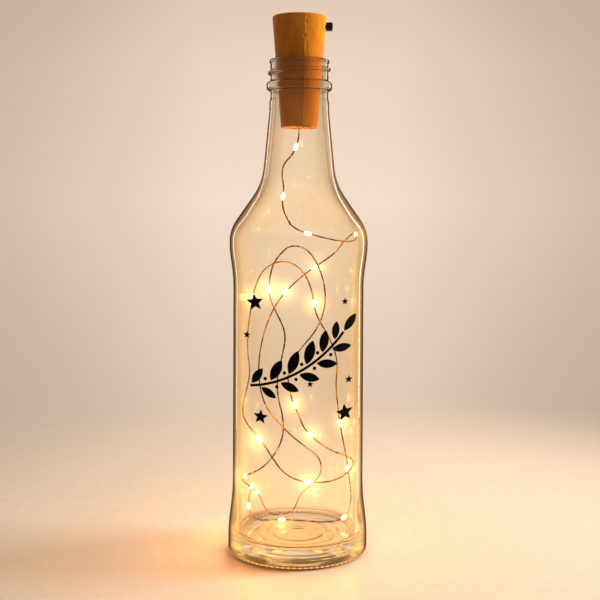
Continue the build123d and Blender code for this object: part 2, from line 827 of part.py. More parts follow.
leaves = []
for along, side, size_share, lean in leaf_shares:
    foot = stem_line.line @ along
    way = stem_line.line % along
    heading = degrees(atan2(way.Y, way.X)) + side * lean
    stand_off = leaf_gap if side == 0 else leaf_gap + stem_width / 2
    step_way = way if side == 0 else Vector(-way.Y, way.X) * side
    leaf = leaf_outline(size_share * leaf_length, size_share * leaf_width)
    leaves.append(leaf.moved(Location(foot + step_way * stand_off, (0, 0, heading))))
with BuildSketch() as sprig_leaves:
    add(leaves)
save_decal(sprig_leaves.sketch, "sprig_leaves_decal")

with BuildSketch() as sprig_berries:
    for along, side in berry_shares:
        way = stem_line.line % along
        with Locations(stem_line.line @ along + Vector(-way.Y, way.X) * side * berry_stand_off):
            Circle(berry_radius)
save_decal(sprig_berries.sketch, "sprig_berries_decal")
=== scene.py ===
"""Cork bottle light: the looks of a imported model.

A clear screw-neck bottle with a leafy sprig and stars cut from black vinyl, a hollow stopper
with its battery case and slide switch, and one string of twenty small warm lights on twisted
copper wire. Everything is in metres, +Z up, with the decals towards -Y.
"""

import logging
from collections.abc import Callable, Iterable
from dataclasses import dataclass, field
from enum import Enum
from math import atan2, ceil, cos, exp, hypot, pi, radians, sin, tan, tau

import bmesh
import bpy
import numpy as np
from mathutils import Matrix, Vector, noise


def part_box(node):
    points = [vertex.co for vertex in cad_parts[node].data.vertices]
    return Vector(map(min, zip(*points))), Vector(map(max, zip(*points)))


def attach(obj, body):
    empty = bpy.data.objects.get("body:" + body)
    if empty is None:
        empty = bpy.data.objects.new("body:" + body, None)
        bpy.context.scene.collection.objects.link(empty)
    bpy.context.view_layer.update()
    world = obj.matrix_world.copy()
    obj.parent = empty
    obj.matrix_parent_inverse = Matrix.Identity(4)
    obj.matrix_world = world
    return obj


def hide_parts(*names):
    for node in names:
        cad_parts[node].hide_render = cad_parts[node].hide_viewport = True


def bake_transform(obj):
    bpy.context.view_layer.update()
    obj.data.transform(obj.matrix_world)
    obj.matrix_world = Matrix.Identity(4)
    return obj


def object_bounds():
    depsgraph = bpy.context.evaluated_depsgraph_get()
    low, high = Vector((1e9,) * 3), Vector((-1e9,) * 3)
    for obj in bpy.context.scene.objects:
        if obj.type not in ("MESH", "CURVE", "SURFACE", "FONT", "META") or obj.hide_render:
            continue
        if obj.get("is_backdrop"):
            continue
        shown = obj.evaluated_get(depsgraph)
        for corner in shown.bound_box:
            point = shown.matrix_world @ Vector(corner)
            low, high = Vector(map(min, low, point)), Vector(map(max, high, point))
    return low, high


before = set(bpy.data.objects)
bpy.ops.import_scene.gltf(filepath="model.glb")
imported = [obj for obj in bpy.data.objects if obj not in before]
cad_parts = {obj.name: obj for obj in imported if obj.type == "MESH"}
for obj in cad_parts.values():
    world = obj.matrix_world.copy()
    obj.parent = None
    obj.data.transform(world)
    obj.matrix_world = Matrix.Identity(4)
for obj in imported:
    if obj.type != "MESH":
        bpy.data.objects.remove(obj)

log = logging.getLogger("bottle_light")
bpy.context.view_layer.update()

Place = tuple[float, float]
Outline = list[Place]
Shape = Callable[[int, float, float, float], Place]
Point = tuple[float, float, float]
Colour = tuple[float, float, float]
Stops = tuple[tuple[float, Colour], ...]
Socket = bpy.types.NodeSocket
Material = bpy.types.Material
Mesh = bpy.types.Mesh
Piece = bpy.types.Object

MM = 0.001
ON_AXIS = 0.0001 * MM
UNDIVIDED = 1000 * MM
FRONT = -pi / 2
NOISE_SPAN: Place = (0.3, 0.7)
EVEN: Point = (1.0, 1.0, 1.0)
WHITE: Colour = (1.0, 1.0, 1.0)


def smooth_step(value: float, low: float, high: float) -> float:
    """Rise smoothly from 0 at low to 1 at high.

    Args:
        value: The place to read the step at.
        low: Where the step starts.
        high: Where the step ends.

    Returns:
        A share from 0 to 1.
    """
    share = min(1.0, max(0.0, (value - low) / (high - low)))
    return share * share * (3 - 2 * share)


def bell(value: float, middle: float, width: float) -> float:
    """A bell curve of height 1, which falls to about a third at its width from the middle."""
    return exp(-(((value - middle) / width) ** 2))


def angle_gap(angle: float, other: float) -> float:
    """The signed turn from one angle to another, within half a turn each way."""
    return (angle - other + pi) % tau - pi


class Nodes:
    """Adds shader nodes to a tree."""

    def __init__(self, tree: bpy.types.NodeTree) -> None:
        """Work on a tree."""
        self.tree = tree

    def feed(self, source: object, socket: Socket) -> None:
        """Link a socket, or set it to a plain value.

        Args:
            source: Another node's socket, or a plain value. A colour's alpha may be left out.
            socket: The socket that takes it.
        """
        if isinstance(source, Socket):
            self.tree.links.new(source, socket)
        elif socket.type == "RGBA" and len(source) == 3:
            socket.default_value = (*source, 1.0)
        else:
            socket.default_value = source

    def node(self, kind: str, **values: object) -> bpy.types.Node:
        """Add a node.

        Args:
            kind: The node's type name, without its first words.
            **values: Attributes of the node, and what feeds its sockets, by name with _ for a space.

        Returns:
            The new node.
        """
        made = self.tree.nodes.new(f"ShaderNode{kind}")
        for name, value in values.items():
            if hasattr(made, name):
                setattr(made, name, value)
            else:
                self.feed(value, made.inputs[name.replace("_", " ")])
        return made

    def join(self, kind: str, *sources: object, **values: object) -> Socket:
        """Add a node and feed its sockets in their order.

        Args:
            kind: The node's type name, without its first words.
            *sources: What feeds its first sockets.
            **values: The rest, as for node.

        Returns:
            The node's first output.
        """
        made = self.node(kind, **values)
        for source, socket in zip(sources, made.inputs):
            self.feed(source, socket)
        return made.outputs[0]

    def add(self, first: Socket, second: Socket) -> Socket:
        """Add two values and hold the sum at 1."""
        return self.join("Math", first, second, operation="ADD", use_clamp=True)

    def ramp(self, source: Socket, stops: Iterable[tuple[float, Colour]]) -> Socket:
        """Turn a value into a colour.

        Args:
            source: The value.
            stops: Places from 0 to 1 with their colours.

        Returns:
            The colour.
        """
        made = self.node("ValToRGB", Fac=source)
        elements = made.color_ramp.elements
        wanted = list(stops)
        while len(elements) < len(wanted):
            elements.new(0.5)
        for element, (place, colour) in zip(elements, wanted):
            element.position = place
            element.color = (*colour, 1.0)
        return made.outputs["Color"]

    def levels(self, source: Socket, stops: Iterable[Place]) -> Socket:
        """Turn a value into a level, by stops as places from 0 to 1 with their levels."""
        return self.ramp(source, ((place, (level, level, level)) for place, level in stops))


class Paint(Nodes):
    """Builds one material's nodes, with a Principled shader already in place."""

    def __init__(self, name: str) -> None:
        """Start a material.

        Args:
            name: The material's name.
        """
        self.material = bpy.data.materials.new(name)
        self.material.use_nodes = True
        super().__init__(self.material.node_tree)
        self.shader = self.tree.nodes["Principled BSDF"]
        self.place: Socket | None = None

    def set(self, **values: object) -> None:
        """Feed the Principled shader's sockets, by name with _ for a space."""
        for name, value in values.items():
            self.feed(value, self.shader.inputs[name.replace("_", " ")])

    def surface(self, shader: Socket) -> None:
        """Show a shader in place of the Principled one alone."""
        self.feed(shader, self.tree.nodes["Material Output"].inputs["Surface"])

    def coordinates(self) -> Socket:
        """The object's own coordinates, made once for each material.

        Returns:
            The coordinates.
        """
        if self.place is None:
            self.place = self.node("TexCoord").outputs["Object"]
        return self.place

    def height(self) -> Socket:
        """The height of a place on the object."""
        return self.node("SeparateXYZ", Vector=self.coordinates()).outputs["Z"]

    def facing(self) -> Socket:
        """How far the surface turns from the eye, from 0 head on to 1 at its edges."""
        return self.node("LayerWeight", Blend=0.5).outputs["Facing"]

    def level_share(self) -> Socket:
        """How level the surface lies, from 0 where it stands upright to 1 where it is flat.

        Returns:
            The share.
        """
        normal = self.node("TexCoord").outputs["Normal"]
        upward = self.node("SeparateXYZ", Vector=normal).outputs["Z"]
        return self.join("Math", upward, operation="ABSOLUTE")

    def tinted(self, colour: Socket, tint: Socket) -> Socket:
        """Multiply a colour by a tint."""
        return self.join("VectorMath", colour, tint, operation="MULTIPLY")

    def noise(self, scale: float, detail: float, stretch: Point = EVEN) -> Socket:
        """A noise pattern in object coordinates.

        Args:
            scale: Waves to the metre.
            detail: Octaves.
            stretch: How many times denser it is along each axis.

        Returns:
            The noise's value.
        """
        mapped = self.node("Mapping", Scale=stretch, Vector=self.coordinates()).outputs["Vector"]
        pattern = self.node("TexNoise", Scale=scale, Detail=detail, Roughness=0.55, Vector=mapped)
        return pattern.outputs["Fac"]

    def spread(self, pattern: Socket, low: float, high: float) -> Socket:
        """Map a noise's usual span to low and high."""
        return self.join("MapRange", pattern, *NOISE_SPAN, low, high)

    def bump(self, pattern: Socket, depth: float) -> Socket:
        """The surface's direction where a pattern raises it, by up to a depth in metres."""
        return self.node("Bump", Strength=1.0, Distance=depth, Height=pattern).outputs["Normal"]


@dataclass(frozen=True)
class ClearGlass:
    """Polished clear glass, with painted shade and a painted glow of the lights near it.

    Its edges are painted darker, to brown, as painted shade, and so are its heel, from the first
    height of heel up to the second, and what lies level. A painted glow shows near its sides, and
    fades over the heights of its span. How much painted glow of the lights a place gets is read
    from a float attribute of the mesh. The share of light let through to what stands inside is
    passes. Spans and tint ramps without heights go by how far the surface turns from the eye.
    """

    name: str
    ior: float = 1.52
    haze: float = 0.006
    haze_colour: Colour = (0.9, 0.8, 0.66)
    passes: float = 1.0
    # The glass's own warm tint head on; its darker stops towards the edges are painted shade.
    tints_and_edge_shade: Stops = ((0.0, (1.0, 0.95, 0.86)), (1.0, (0.97, 0.9, 0.78)))
    # A dark diffuse mixed in towards the edges, by its span and share: painted shade.
    edge_shade_colour: Colour = (0.03, 0.01, 0.002)
    edge_shade_span: Point = (0.62, 0.73, 0.84)
    edge_shade_share: float = 0.0
    # A painted glow near the sides, by the turn from the eye and by height.
    painted_side_glow: float = 0.0
    painted_side_glow_turn: Point = (0.3, 0.58, 0.82)
    painted_side_glow_span: Place = (112 * MM, 158 * MM)
    painted_side_glow_colour: Colour = (1.0, 0.5, 0.06)
    # Painted shade where the surface lies level, over its span of levelness.
    flank_shade_span: Place = (0.62, 0.86)
    flank_shade_colour: Colour | None = None
    # Painted shade over the heel, between its two heights, in its colour.
    heel: Place | None = None
    heel_shade_colour: Colour = (0.24, 0.16, 0.08)
    # The colour of the painted glow of the lights near the glass.
    painted_glow_colour: Colour = (1.0, 0.58, 0.17)

    def tint(self, paint: Paint, facing: Socket) -> Socket:
        """Mix the glass's colour, with its painted shade.

        Args:
            paint: The material's nodes.
            facing: How far the surface turns from the eye.

        Returns:
            The colour.
        """
        tint = paint.ramp(facing, self.tints_and_edge_shade)
        # Painted shade over the heel.
        if self.heel is not None:
            low = paint.join("MapRange", paint.height(), *self.heel)
            tint = paint.tinted(tint, paint.ramp(low, ((0.0, self.heel_shade_colour), (1.0, WHITE))))
        # Painted shade where the surface lies level, as on the thread's flanks and the lip.
        if self.flank_shade_colour is not None:
            flank_shade = paint.ramp(paint.level_share(), zip(self.flank_shade_span, (WHITE, self.flank_shade_colour)))
            tint = paint.tinted(tint, flank_shade)
        return tint

    def material(self) -> Material:
        """Make the material.

        Returns:
            The material.
        """
        paint = Paint(self.name)
        facing = paint.facing()
        tint = self.tint(paint, facing)
        paint.set(Base_Color=tint, Roughness=0.0, IOR=self.ior, Transmission_Weight=1.0)
        hazes = [paint.join(kind, self.haze_colour) for kind in ("BsdfDiffuse", "BsdfTranslucent")]
        haze = paint.join("MixShader", 0.5, *hazes)
        shown = paint.join("MixShader", self.haze, paint.shader.outputs["BSDF"], haze)
        # Painted shade: a dark diffuse mixed in towards the edges.
        if self.edge_shade_share > 0:
            shares = (0.0, self.edge_shade_share / 2, self.edge_shade_share)
            dark = paint.levels(facing, zip(self.edge_shade_span, shares))
            shown = paint.join("MixShader", dark, shown, paint.join("BsdfDiffuse", self.edge_shade_colour))
        # Painted glow of the lights near the glass, read from the mesh.
        near = paint.node("Attribute", attribute_name="painted_lamp_glow").outputs["Fac"]
        shown = paint.join("AddShader", shown, paint.join("Emission", self.painted_glow_colour, near))
        # Painted glow near the sides, fading with height.
        if self.painted_side_glow > 0:
            sides = paint.levels(facing, zip(self.painted_side_glow_turn, (0.0, self.painted_side_glow, 0.0)))
            down = paint.join("MapRange", paint.height(), *reversed(self.painted_side_glow_span))
            strength = paint.join("Math", sides, down, operation="MULTIPLY")
            shown = paint.join("AddShader", shown, paint.join("Emission", self.painted_side_glow_colour, strength))
        passed = paint.join("VectorMath", tint, operation="SCALE", Scale=self.passes)
        rays = paint.node("LightPath").outputs
        unseen = paint.add(rays["Is Shadow Ray"], rays["Is Diffuse Ray"])
        paint.surface(paint.join("MixShader", unseen, shown, paint.join("BsdfTransparent", passed)))
        return paint.material


@dataclass(frozen=True)
class CorkMoulding:
    """Cork-coloured moulded plastic: mottled tan with fine grain, specks and a satin skin."""

    name: str = "cork_moulding"
    dark: Colour = (0.44, 0.13, 0.01)
    middle: Colour = (0.54, 0.175, 0.014)
    light: Colour = (0.66, 0.24, 0.022)
    mottle_scale: float = 110.0
    mottle_stops: Point = (0.3, 0.5, 0.72)
    mottle_stretch: Point = (1.0, 1.0, 0.5)
    speck: Colour = (0.26, 0.08, 0.012)
    speck_scale: float = 620.0
    speck_edge: Place = (0.1, 0.2)
    speck_share: float = 0.35
    grain_scale: float = 2600.0
    grain_stretch: Point = (1.0, 1.0, 0.6)
    grain_depth: float = 0.06 * MM
    roughness: Place = (0.5, 0.66)
    gloss: float = 0.12

    def material(self) -> Material:
        """Make the material.

        Returns:
            The material.
        """
        paint = Paint(self.name)
        mottle = paint.noise(self.mottle_scale, 6.0, self.mottle_stretch)
        colour = paint.ramp(mottle, zip(self.mottle_stops, (self.dark, self.middle, self.light)))
        specks = paint.node("TexVoronoi", Scale=self.speck_scale, Vector=paint.coordinates())
        near = paint.join("MapRange", specks.outputs["Distance"], *self.speck_edge, self.speck_share, 0.0)
        mixed = paint.node("Mix", data_type="RGBA")
        for number, source in ((0, near), (6, colour), (7, self.speck)):
            paint.feed(source, mixed.inputs[number])
        grain = paint.noise(self.grain_scale, 4.0, self.grain_stretch)
        paint.set(Base_Color=mixed.outputs[2], Roughness=paint.spread(grain, *self.roughness),
                  Normal=paint.bump(grain, self.grain_depth), Specular_IOR_Level=self.gloss)
        return paint.material


@dataclass(frozen=True)
class Moulded:
    """A moulded plastic or rubber, with a fine grain and slightly uneven colour."""

    name: str
    colour: Colour
    roughness: float
    unevenness: Place = (-0.06, 0.08)
    cloud_scale: float = 90.0
    darkest: float = 0.72
    lightest: float = 1.25
    grain_scale: float = 2200.0
    grain_depth: float = 0.02 * MM
    gloss: float = 0.5

    def material(self) -> Material:
        """Make the material.

        Returns:
            The material.
        """
        paint = Paint(self.name)
        darker = tuple(share * self.darkest for share in self.colour)
        lighter = tuple(min(1.0, share * self.lightest + 0.001) for share in self.colour)
        colour = paint.ramp(paint.noise(self.cloud_scale, 3.0), zip(NOISE_SPAN, (darker, lighter)))
        grain = paint.noise(self.grain_scale, 3.0)
        low, high = (self.roughness + change for change in self.unevenness)
        paint.set(Base_Color=colour, Roughness=paint.spread(grain, low, high),
                  Normal=paint.bump(grain, self.grain_depth), Specular_IOR_Level=self.gloss)
        return paint.material


@dataclass(frozen=True)
class Metal:
    """A bare or enamelled metal with fine drawn lines, which glints in its own colour. Its light
    patches are painted glints where they differ much from its dark, as on the wire.
    """

    name: str
    dark: Colour
    light: Colour
    roughness: float
    unevenness: Place = (-0.05, 0.08)
    stretch: Point = (1.0, 1.0, 8.0)
    scale: float = 900.0
    stops: Place = (0.32, 0.66)
    glint: Colour = WHITE
    line_depth: float = 0.008 * MM

    def material(self) -> Material:
        """Make the material.

        Returns:
            The material.
        """
        paint = Paint(self.name)
        lines = paint.noise(self.scale, 3.0, self.stretch)
        colour = paint.ramp(lines, zip(self.stops, (self.dark, self.light)))
        low, high = (self.roughness + change for change in self.unevenness)
        paint.set(Base_Color=colour, Roughness=paint.spread(lines, low, high), Metallic=1.0,
                  Normal=paint.bump(lines, self.line_depth), Specular_Tint=self.glint)
        return paint.material


@dataclass(frozen=True)
class Glow:
    """Lit resin: it shows near white with an amber rim, and lights what is around it."""

    name: str = "lit_resin"
    resin: Colour = (0.9, 0.7, 0.4)
    core: Colour = (1.0, 0.8, 0.42)
    rim: Colour = (1.0, 0.5, 0.1)
    rim_span: Place = (0.25, 0.95)
    lamp: Colour = (1.0, 0.58, 0.2)
    roughness: float = 0.15
    shown: float = 4.0
    shone: float = 400.0

    def material(self) -> Material:
        """Make the material.

        Returns:
            The material.
        """
        paint = Paint(self.name)
        paint.set(Base_Color=self.resin, Roughness=self.roughness)
        colour = paint.ramp(paint.facing(), zip(self.rim_span, (self.core, self.rim)))
        looks = paint.join("Emission", colour, self.shown)
        lights = paint.join("Emission", self.lamp, self.shone)
        rays = paint.node("LightPath").outputs
        seen = paint.add(rays["Is Camera Ray"], rays["Is Transmission Ray"])
        seen = paint.add(seen, rays["Is Glossy Ray"])
        paint.surface(paint.join("MixShader", seen, lights, looks))
        return paint.material


@dataclass(frozen=True)
class Board:
    """A lacquered green circuit board with paler tracks."""

    name: str = "circuit_board_lacquer"
    green: Colour = (0.01, 0.12, 0.04)
    track: Colour = (0.05, 0.26, 0.09)
    track_scale: float = 420.0
    track_width: float = 0.06
    track_depth: float = 0.03 * MM
    roughness: float = 0.3
    lacquer: float = 0.5

    def material(self) -> Material:
        """Make the material.

        Returns:
            The material.
        """
        paint = Paint(self.name)
        tracks = paint.node("TexBrick", Scale=self.track_scale, Mortar_Size=self.track_width,
                            Color1=self.green, Color2=self.green, Mortar=self.track,
                            Vector=paint.coordinates()).outputs
        paint.set(Base_Color=tracks["Color"], Normal=paint.bump(tracks["Fac"], self.track_depth),
                  Roughness=self.roughness, Coat_Weight=self.lacquer)
        return paint.material


def dress(node: str, material: Material) -> None:
    """Give a CAD node a finish.

    Args:
        node: The node's name.
        material: The finish.
    """
    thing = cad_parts[node]
    thing.data.materials.clear()
    thing.data.materials.append(material)


def make_piece(name: str, mesh: Mesh, *materials: Material) -> Piece:
    """Make an object at the origin out of a mesh.

    Args:
        name: The piece's name.
        mesh: Its mesh, in place.
        *materials: Its finishes, or none where the mesh keeps its own.

    Returns:
        The new object.
    """
    piece = bpy.data.objects.new(name, mesh)
    bpy.context.scene.collection.objects.link(piece)
    for material in materials:
        mesh.materials.append(material)
    return piece


def take_mesh(piece: Piece) -> Mesh:
    """Keep what a piece's modifiers make as a plain mesh, and remove the piece.

    Args:
        piece: The piece.

    Returns:
        The mesh.
    """
    bpy.context.view_layer.update()
    whole = piece.evaluated_get(bpy.context.evaluated_depsgraph_get())
    mesh = bpy.data.meshes.new_from_object(whole)
    piece.modifiers.clear()
    bpy.data.objects.remove(piece)
    return mesh


def plain_mesh(work: bmesh.types.BMesh, name: str) -> Mesh:
    """Turn a worked mesh into a plain one.

    Args:
        work: The worked mesh, which is freed.
        name: The name of the plain one.

    Returns:
        The plain mesh.
    """
    mesh = bpy.data.meshes.new(name)
    work.to_mesh(mesh)
    work.free()
    return mesh


def divided(outline: Outline, longest: Callable[[Place, Place], float]) -> Outline:
    """Divide an outline's runs into even steps.

    Args:
        outline: The outline's points.
        longest: Takes a run's two ends and returns the longest step along it.

    Returns:
        The points with the new ones between them.
    """
    fine: Outline = [outline[0]]
    for start, end in zip(outline, outline[1:]):
        runs = max(1, ceil(hypot(end[0] - start[0], end[1] - start[1]) / longest(start, end) - 0.001))
        for part in range(1, runs + 1):
            share = part / runs
            fine.append((start[0] + (end[0] - start[0]) * share, start[1] + (end[1] - start[1]) * share))
    return fine


def rounded_outline(corners: Outline, shares: list[float], arc_step: float, run_step: float) -> Outline:
    """Round an outline's inner corners and divide its long runs.

    Args:
        corners: The corners as radius and height.
        shares: The part of the shorter run beside each inner corner that its arc takes up.
        arc_step: The turn from one point of an arc to the next, in radians.
        run_step: The longest straight run.

    Returns:
        The points of the rounded outline.
    """
    points = [Vector(corners[0])]
    for place, share in enumerate(shares):
        before, corner, after = (Vector(spot) for spot in corners[place : place + 3])
        first, second = corner - before, after - corner
        turn = atan2(first.cross(second), first.dot(second))
        reach = share * min(first.length, second.length)
        steps = max(2, ceil(abs(turn) / arc_step))
        chord = 2 * reach / tan(abs(turn) / 2) * sin(abs(turn) / steps / 2)
        points.append(corner - first.normalized() * reach)
        heading = atan2(first.y, first.x) + turn / steps / 2
        for step in range(steps):
            way = heading + step * turn / steps
            points.append(points[-1] + Vector((cos(way), sin(way))) * chord)
    points.append(Vector(corners[-1]))
    return divided([tuple(point) for point in points], lambda start, end: run_step)


def lathe(outline: Outline, angles: list[float], shape: Shape, closed: bool) -> Mesh:
    """Turn an outline about the Z axis.

    Args:
        outline: Points as radius and height. An open one starts and ends on the axis.
        angles: The columns, from 0 to under a full turn.
        shape: Takes a row, a radius, a height and an angle, and returns the shaped radius and height.
        closed: True if the outline is a ring that stays off the axis.

    Returns:
        The closed mesh, with its faces outwards.
    """
    work = bmesh.new()
    rows = []
    for row, (radius, height) in enumerate(outline):
        if radius < ON_AXIS:
            rows.append([work.verts.new((0, 0, height))])
            continue
        ring = []
        for angle in angles:
            reach, level = shape(row, radius, height, angle)
            ring.append(work.verts.new((reach * cos(angle), reach * sin(angle), level)))
        rows.append(ring)
    pairs = list(zip(rows, rows[1:]))
    if closed:
        pairs.append((rows[-1], rows[0]))
    for lower, upper in pairs:
        for column in range(len(angles)):
            after = (column + 1) % len(angles)
            if len(lower) == 1:
                work.faces.new((lower[0], upper[after], upper[column]))
            elif len(upper) == 1:
                work.faces.new((lower[column], lower[after], upper[0]))
            else:
                work.faces.new((lower[column], lower[after], upper[after], upper[column]))
    bmesh.ops.recalc_face_normals(work, faces=work.faces)
    for face in work.faces:
        face.smooth = True
    return plain_mesh(work, "turned")


class Tree:
    """Builds one Geometry Nodes tree, with named inputs for its sizes."""

    def __init__(self, name: str, finish: Material, **sizes: float) -> None:
        """Start a tree that takes and gives geometry.

        Args:
            name: The tree's name.
            finish: The finish of what it makes.
            **sizes: Its sizes and counts, by name with _ for a space.
        """
        self.group = bpy.data.node_groups.new(name, "GeometryNodeTree")
        self.group.interface.new_socket("Geometry", in_out="INPUT", socket_type="NodeSocketGeometry")
        self.group.interface.new_socket("Geometry", in_out="OUTPUT", socket_type="NodeSocketGeometry")
        self.values: dict[str, object] = {}
        self.start: bpy.types.Node | None = None
        for size, value in sizes.items():
            self.input(size.replace("_", " "), "Int" if isinstance(value, int) else "Float", value)
        self.input("Finish", "Material", finish)

    def input(self, name: str, kind: str, value: object) -> None:
        """Add a named input.

        Args:
            name: The input's name.
            kind: Float, Int or Material.
            value: What this use of the tree sets it to.
        """
        socket = self.group.interface.new_socket(name, in_out="INPUT", socket_type=f"NodeSocket{kind}")
        self.values[socket.identifier] = value

    def read(self, name: str) -> Socket:
        """The socket of a named input.

        Args:
            name: The input's name.

        Returns:
            The socket.
        """
        if self.start is None:
            self.start = self.group.nodes.new("NodeGroupInput")
        return self.start.outputs[name]

    def node(self, kind: str, links: dict[str | int, object], **values: object) -> bpy.types.Node:
        """Add a node with its inputs.

        Args:
            kind: The node's type name.
            links: A socket or a plain value for each input, by name or number.
            **values: Attributes of the node.

        Returns:
            The new node.
        """
        made = self.group.nodes.new(kind)
        for name, value in values.items():
            setattr(made, name, value)
        for name, source in links.items():
            if isinstance(source, Socket):
                self.group.links.new(source, made.inputs[name])
            else:
                made.inputs[name].default_value = source
        return made

    def sum(self, operation: str, first: Socket | float, second: Socket | float = 0.0) -> Socket:
        """A plain sum of two numbers."""
        return self.node("ShaderNodeMath", {0: first, 1: second}, operation=operation).outputs[0]

    def vector(self, operation: str, first: Socket, second: Socket) -> Socket:
        """A sum of two vectors."""
        return self.node("ShaderNodeVectorMath", {0: first, 1: second}, operation=operation).outputs[0]

    def scaled(self, vector: Socket, scale: Socket) -> Socket:
        """A vector made a number of times longer."""
        return self.node("ShaderNodeVectorMath", {0: vector, "Scale": scale}, operation="SCALE").outputs[0]

    def finish(self, geometry: Socket) -> None:
        """End the tree in Realize Instances and Set Material.

        Args:
            geometry: What the tree has made.
        """
        real = self.node("GeometryNodeRealizeInstances", {"Geometry": geometry})
        painted = self.node("GeometryNodeSetMaterial",
                            {"Geometry": real.outputs["Geometry"], "Material": self.read("Finish")})
        self.node("NodeGroupOutput", {"Geometry": painted.outputs["Geometry"]})

    def run(self, base: Mesh, name: str) -> Piece:
        """Run the tree on a mesh and keep the result as a plain piece.

        Args:
            base: The mesh that the tree works on.
            name: The name of the piece.

        Returns:
            The new piece.
        """
        holder = make_piece(self.group.name, base)
        modifier = holder.modifiers.new(self.group.name, "NODES")
        modifier.node_group = self.group
        for identifier, value in self.values.items():
            modifier[identifier] = value
        return make_piece(name, take_mesh(holder))


class Body(Enum):
    """The bodies that pieces made here ride on."""

    BOTTLE = "bottle"
    STOPPER = "stopper"
    MODULE = "battery_module"


def finish(look: ClearGlass | CorkMoulding | Moulded | Metal | Glow | Board) -> Material:
    """A dataclass field that holds a look's material, made with its set."""
    return field(default_factory=look.material)


@dataclass
class Finishes:
    """Every finish of the light, made once."""

    # The outer glass is painted brown to near black at its edges, its heel and where it lies level, and has
    # a painted glow near its sides.
    outer_glass: Material = finish(ClearGlass(
        "outer_glass", edge_shade_share=0.93, passes=0.76, painted_side_glow=0.3, flank_shade_colour=(0.26, 0.14, 0.05),
        heel=(1.6 * MM, 4.2 * MM), tints_and_edge_shade=(
            (0.0, (0.99, 0.97, 0.92)), (0.42, (1.0, 0.92, 0.75)), (0.62, (0.98, 0.75, 0.42)),
            (0.75, (0.5, 0.21, 0.05)), (0.88, (0.1, 0.032, 0.006)))))
    inner_glass: Material = finish(ClearGlass("inner_glass"))
    # The inside of the wall is painted darker at its edges and over the inner heel.
    wall_glass: Material = finish(ClearGlass(
        "wall_glass", edge_shade_share=0.5, heel=(7.2 * MM, 10.5 * MM), heel_shade_colour=(0.1, 0.055, 0.02),
        tints_and_edge_shade=((0.0, (1.0, 0.95, 0.86)), (0.6, (1.0, 0.92, 0.74)), (0.85, (0.7, 0.42, 0.18)))))
    # The knurl dots are painted amber to near black towards their edges.
    knurl_glass: Material = finish(ClearGlass(
        "knurl_glass", edge_shade_share=0.97,
        tints_and_edge_shade=((0.0, (1.0, 0.7, 0.28)), (0.5, (0.5, 0.22, 0.05)), (1.0, (0.1, 0.04, 0.01)))))
    cork: Material = finish(CorkMoulding())
    glow: Material = finish(Glow())
    vinyl: Material = finish(
        Moulded("black_vinyl", (0.0025, 0.0022, 0.002), 0.6, grain_depth=0.01 * MM, gloss=0.04))
    black: Material = finish(Moulded("black_plastic", (0.012, 0.011, 0.011), 0.4))
    rubber: Material = finish(Moulded("soft_rubber", (0.62, 0.6, 0.56), 0.6))
    chip: Material = finish(Moulded("light_chip", (0.9, 0.62, 0.12), 0.35))
    # The wire's bright gold patches among its dark brown are painted glints.
    wire: Material = finish(Metal(
        "enamelled_copper", (0.045, 0.012, 0.001), (1.0, 0.52, 0.05), 0.27, stretch=EVEN, scale=190.0,
        stops=(0.44, 0.6), glint=(0.7, 0.3, 0.05)))
    cell: Material = finish(Metal("cell_steel", (0.5, 0.49, 0.47), (0.72, 0.71, 0.69), 0.26))
    plated: Material = finish(Metal("plated_steel", (0.42, 0.4, 0.36), (0.7, 0.67, 0.6), 0.2))
    board: Material = finish(Board())


class GlassPart(Enum):
    """The parts of the bottle's glass that look unlike, by their place in its list of finishes."""

    OUTSIDE = 0
    INSIDE = 1
    WALL = 2


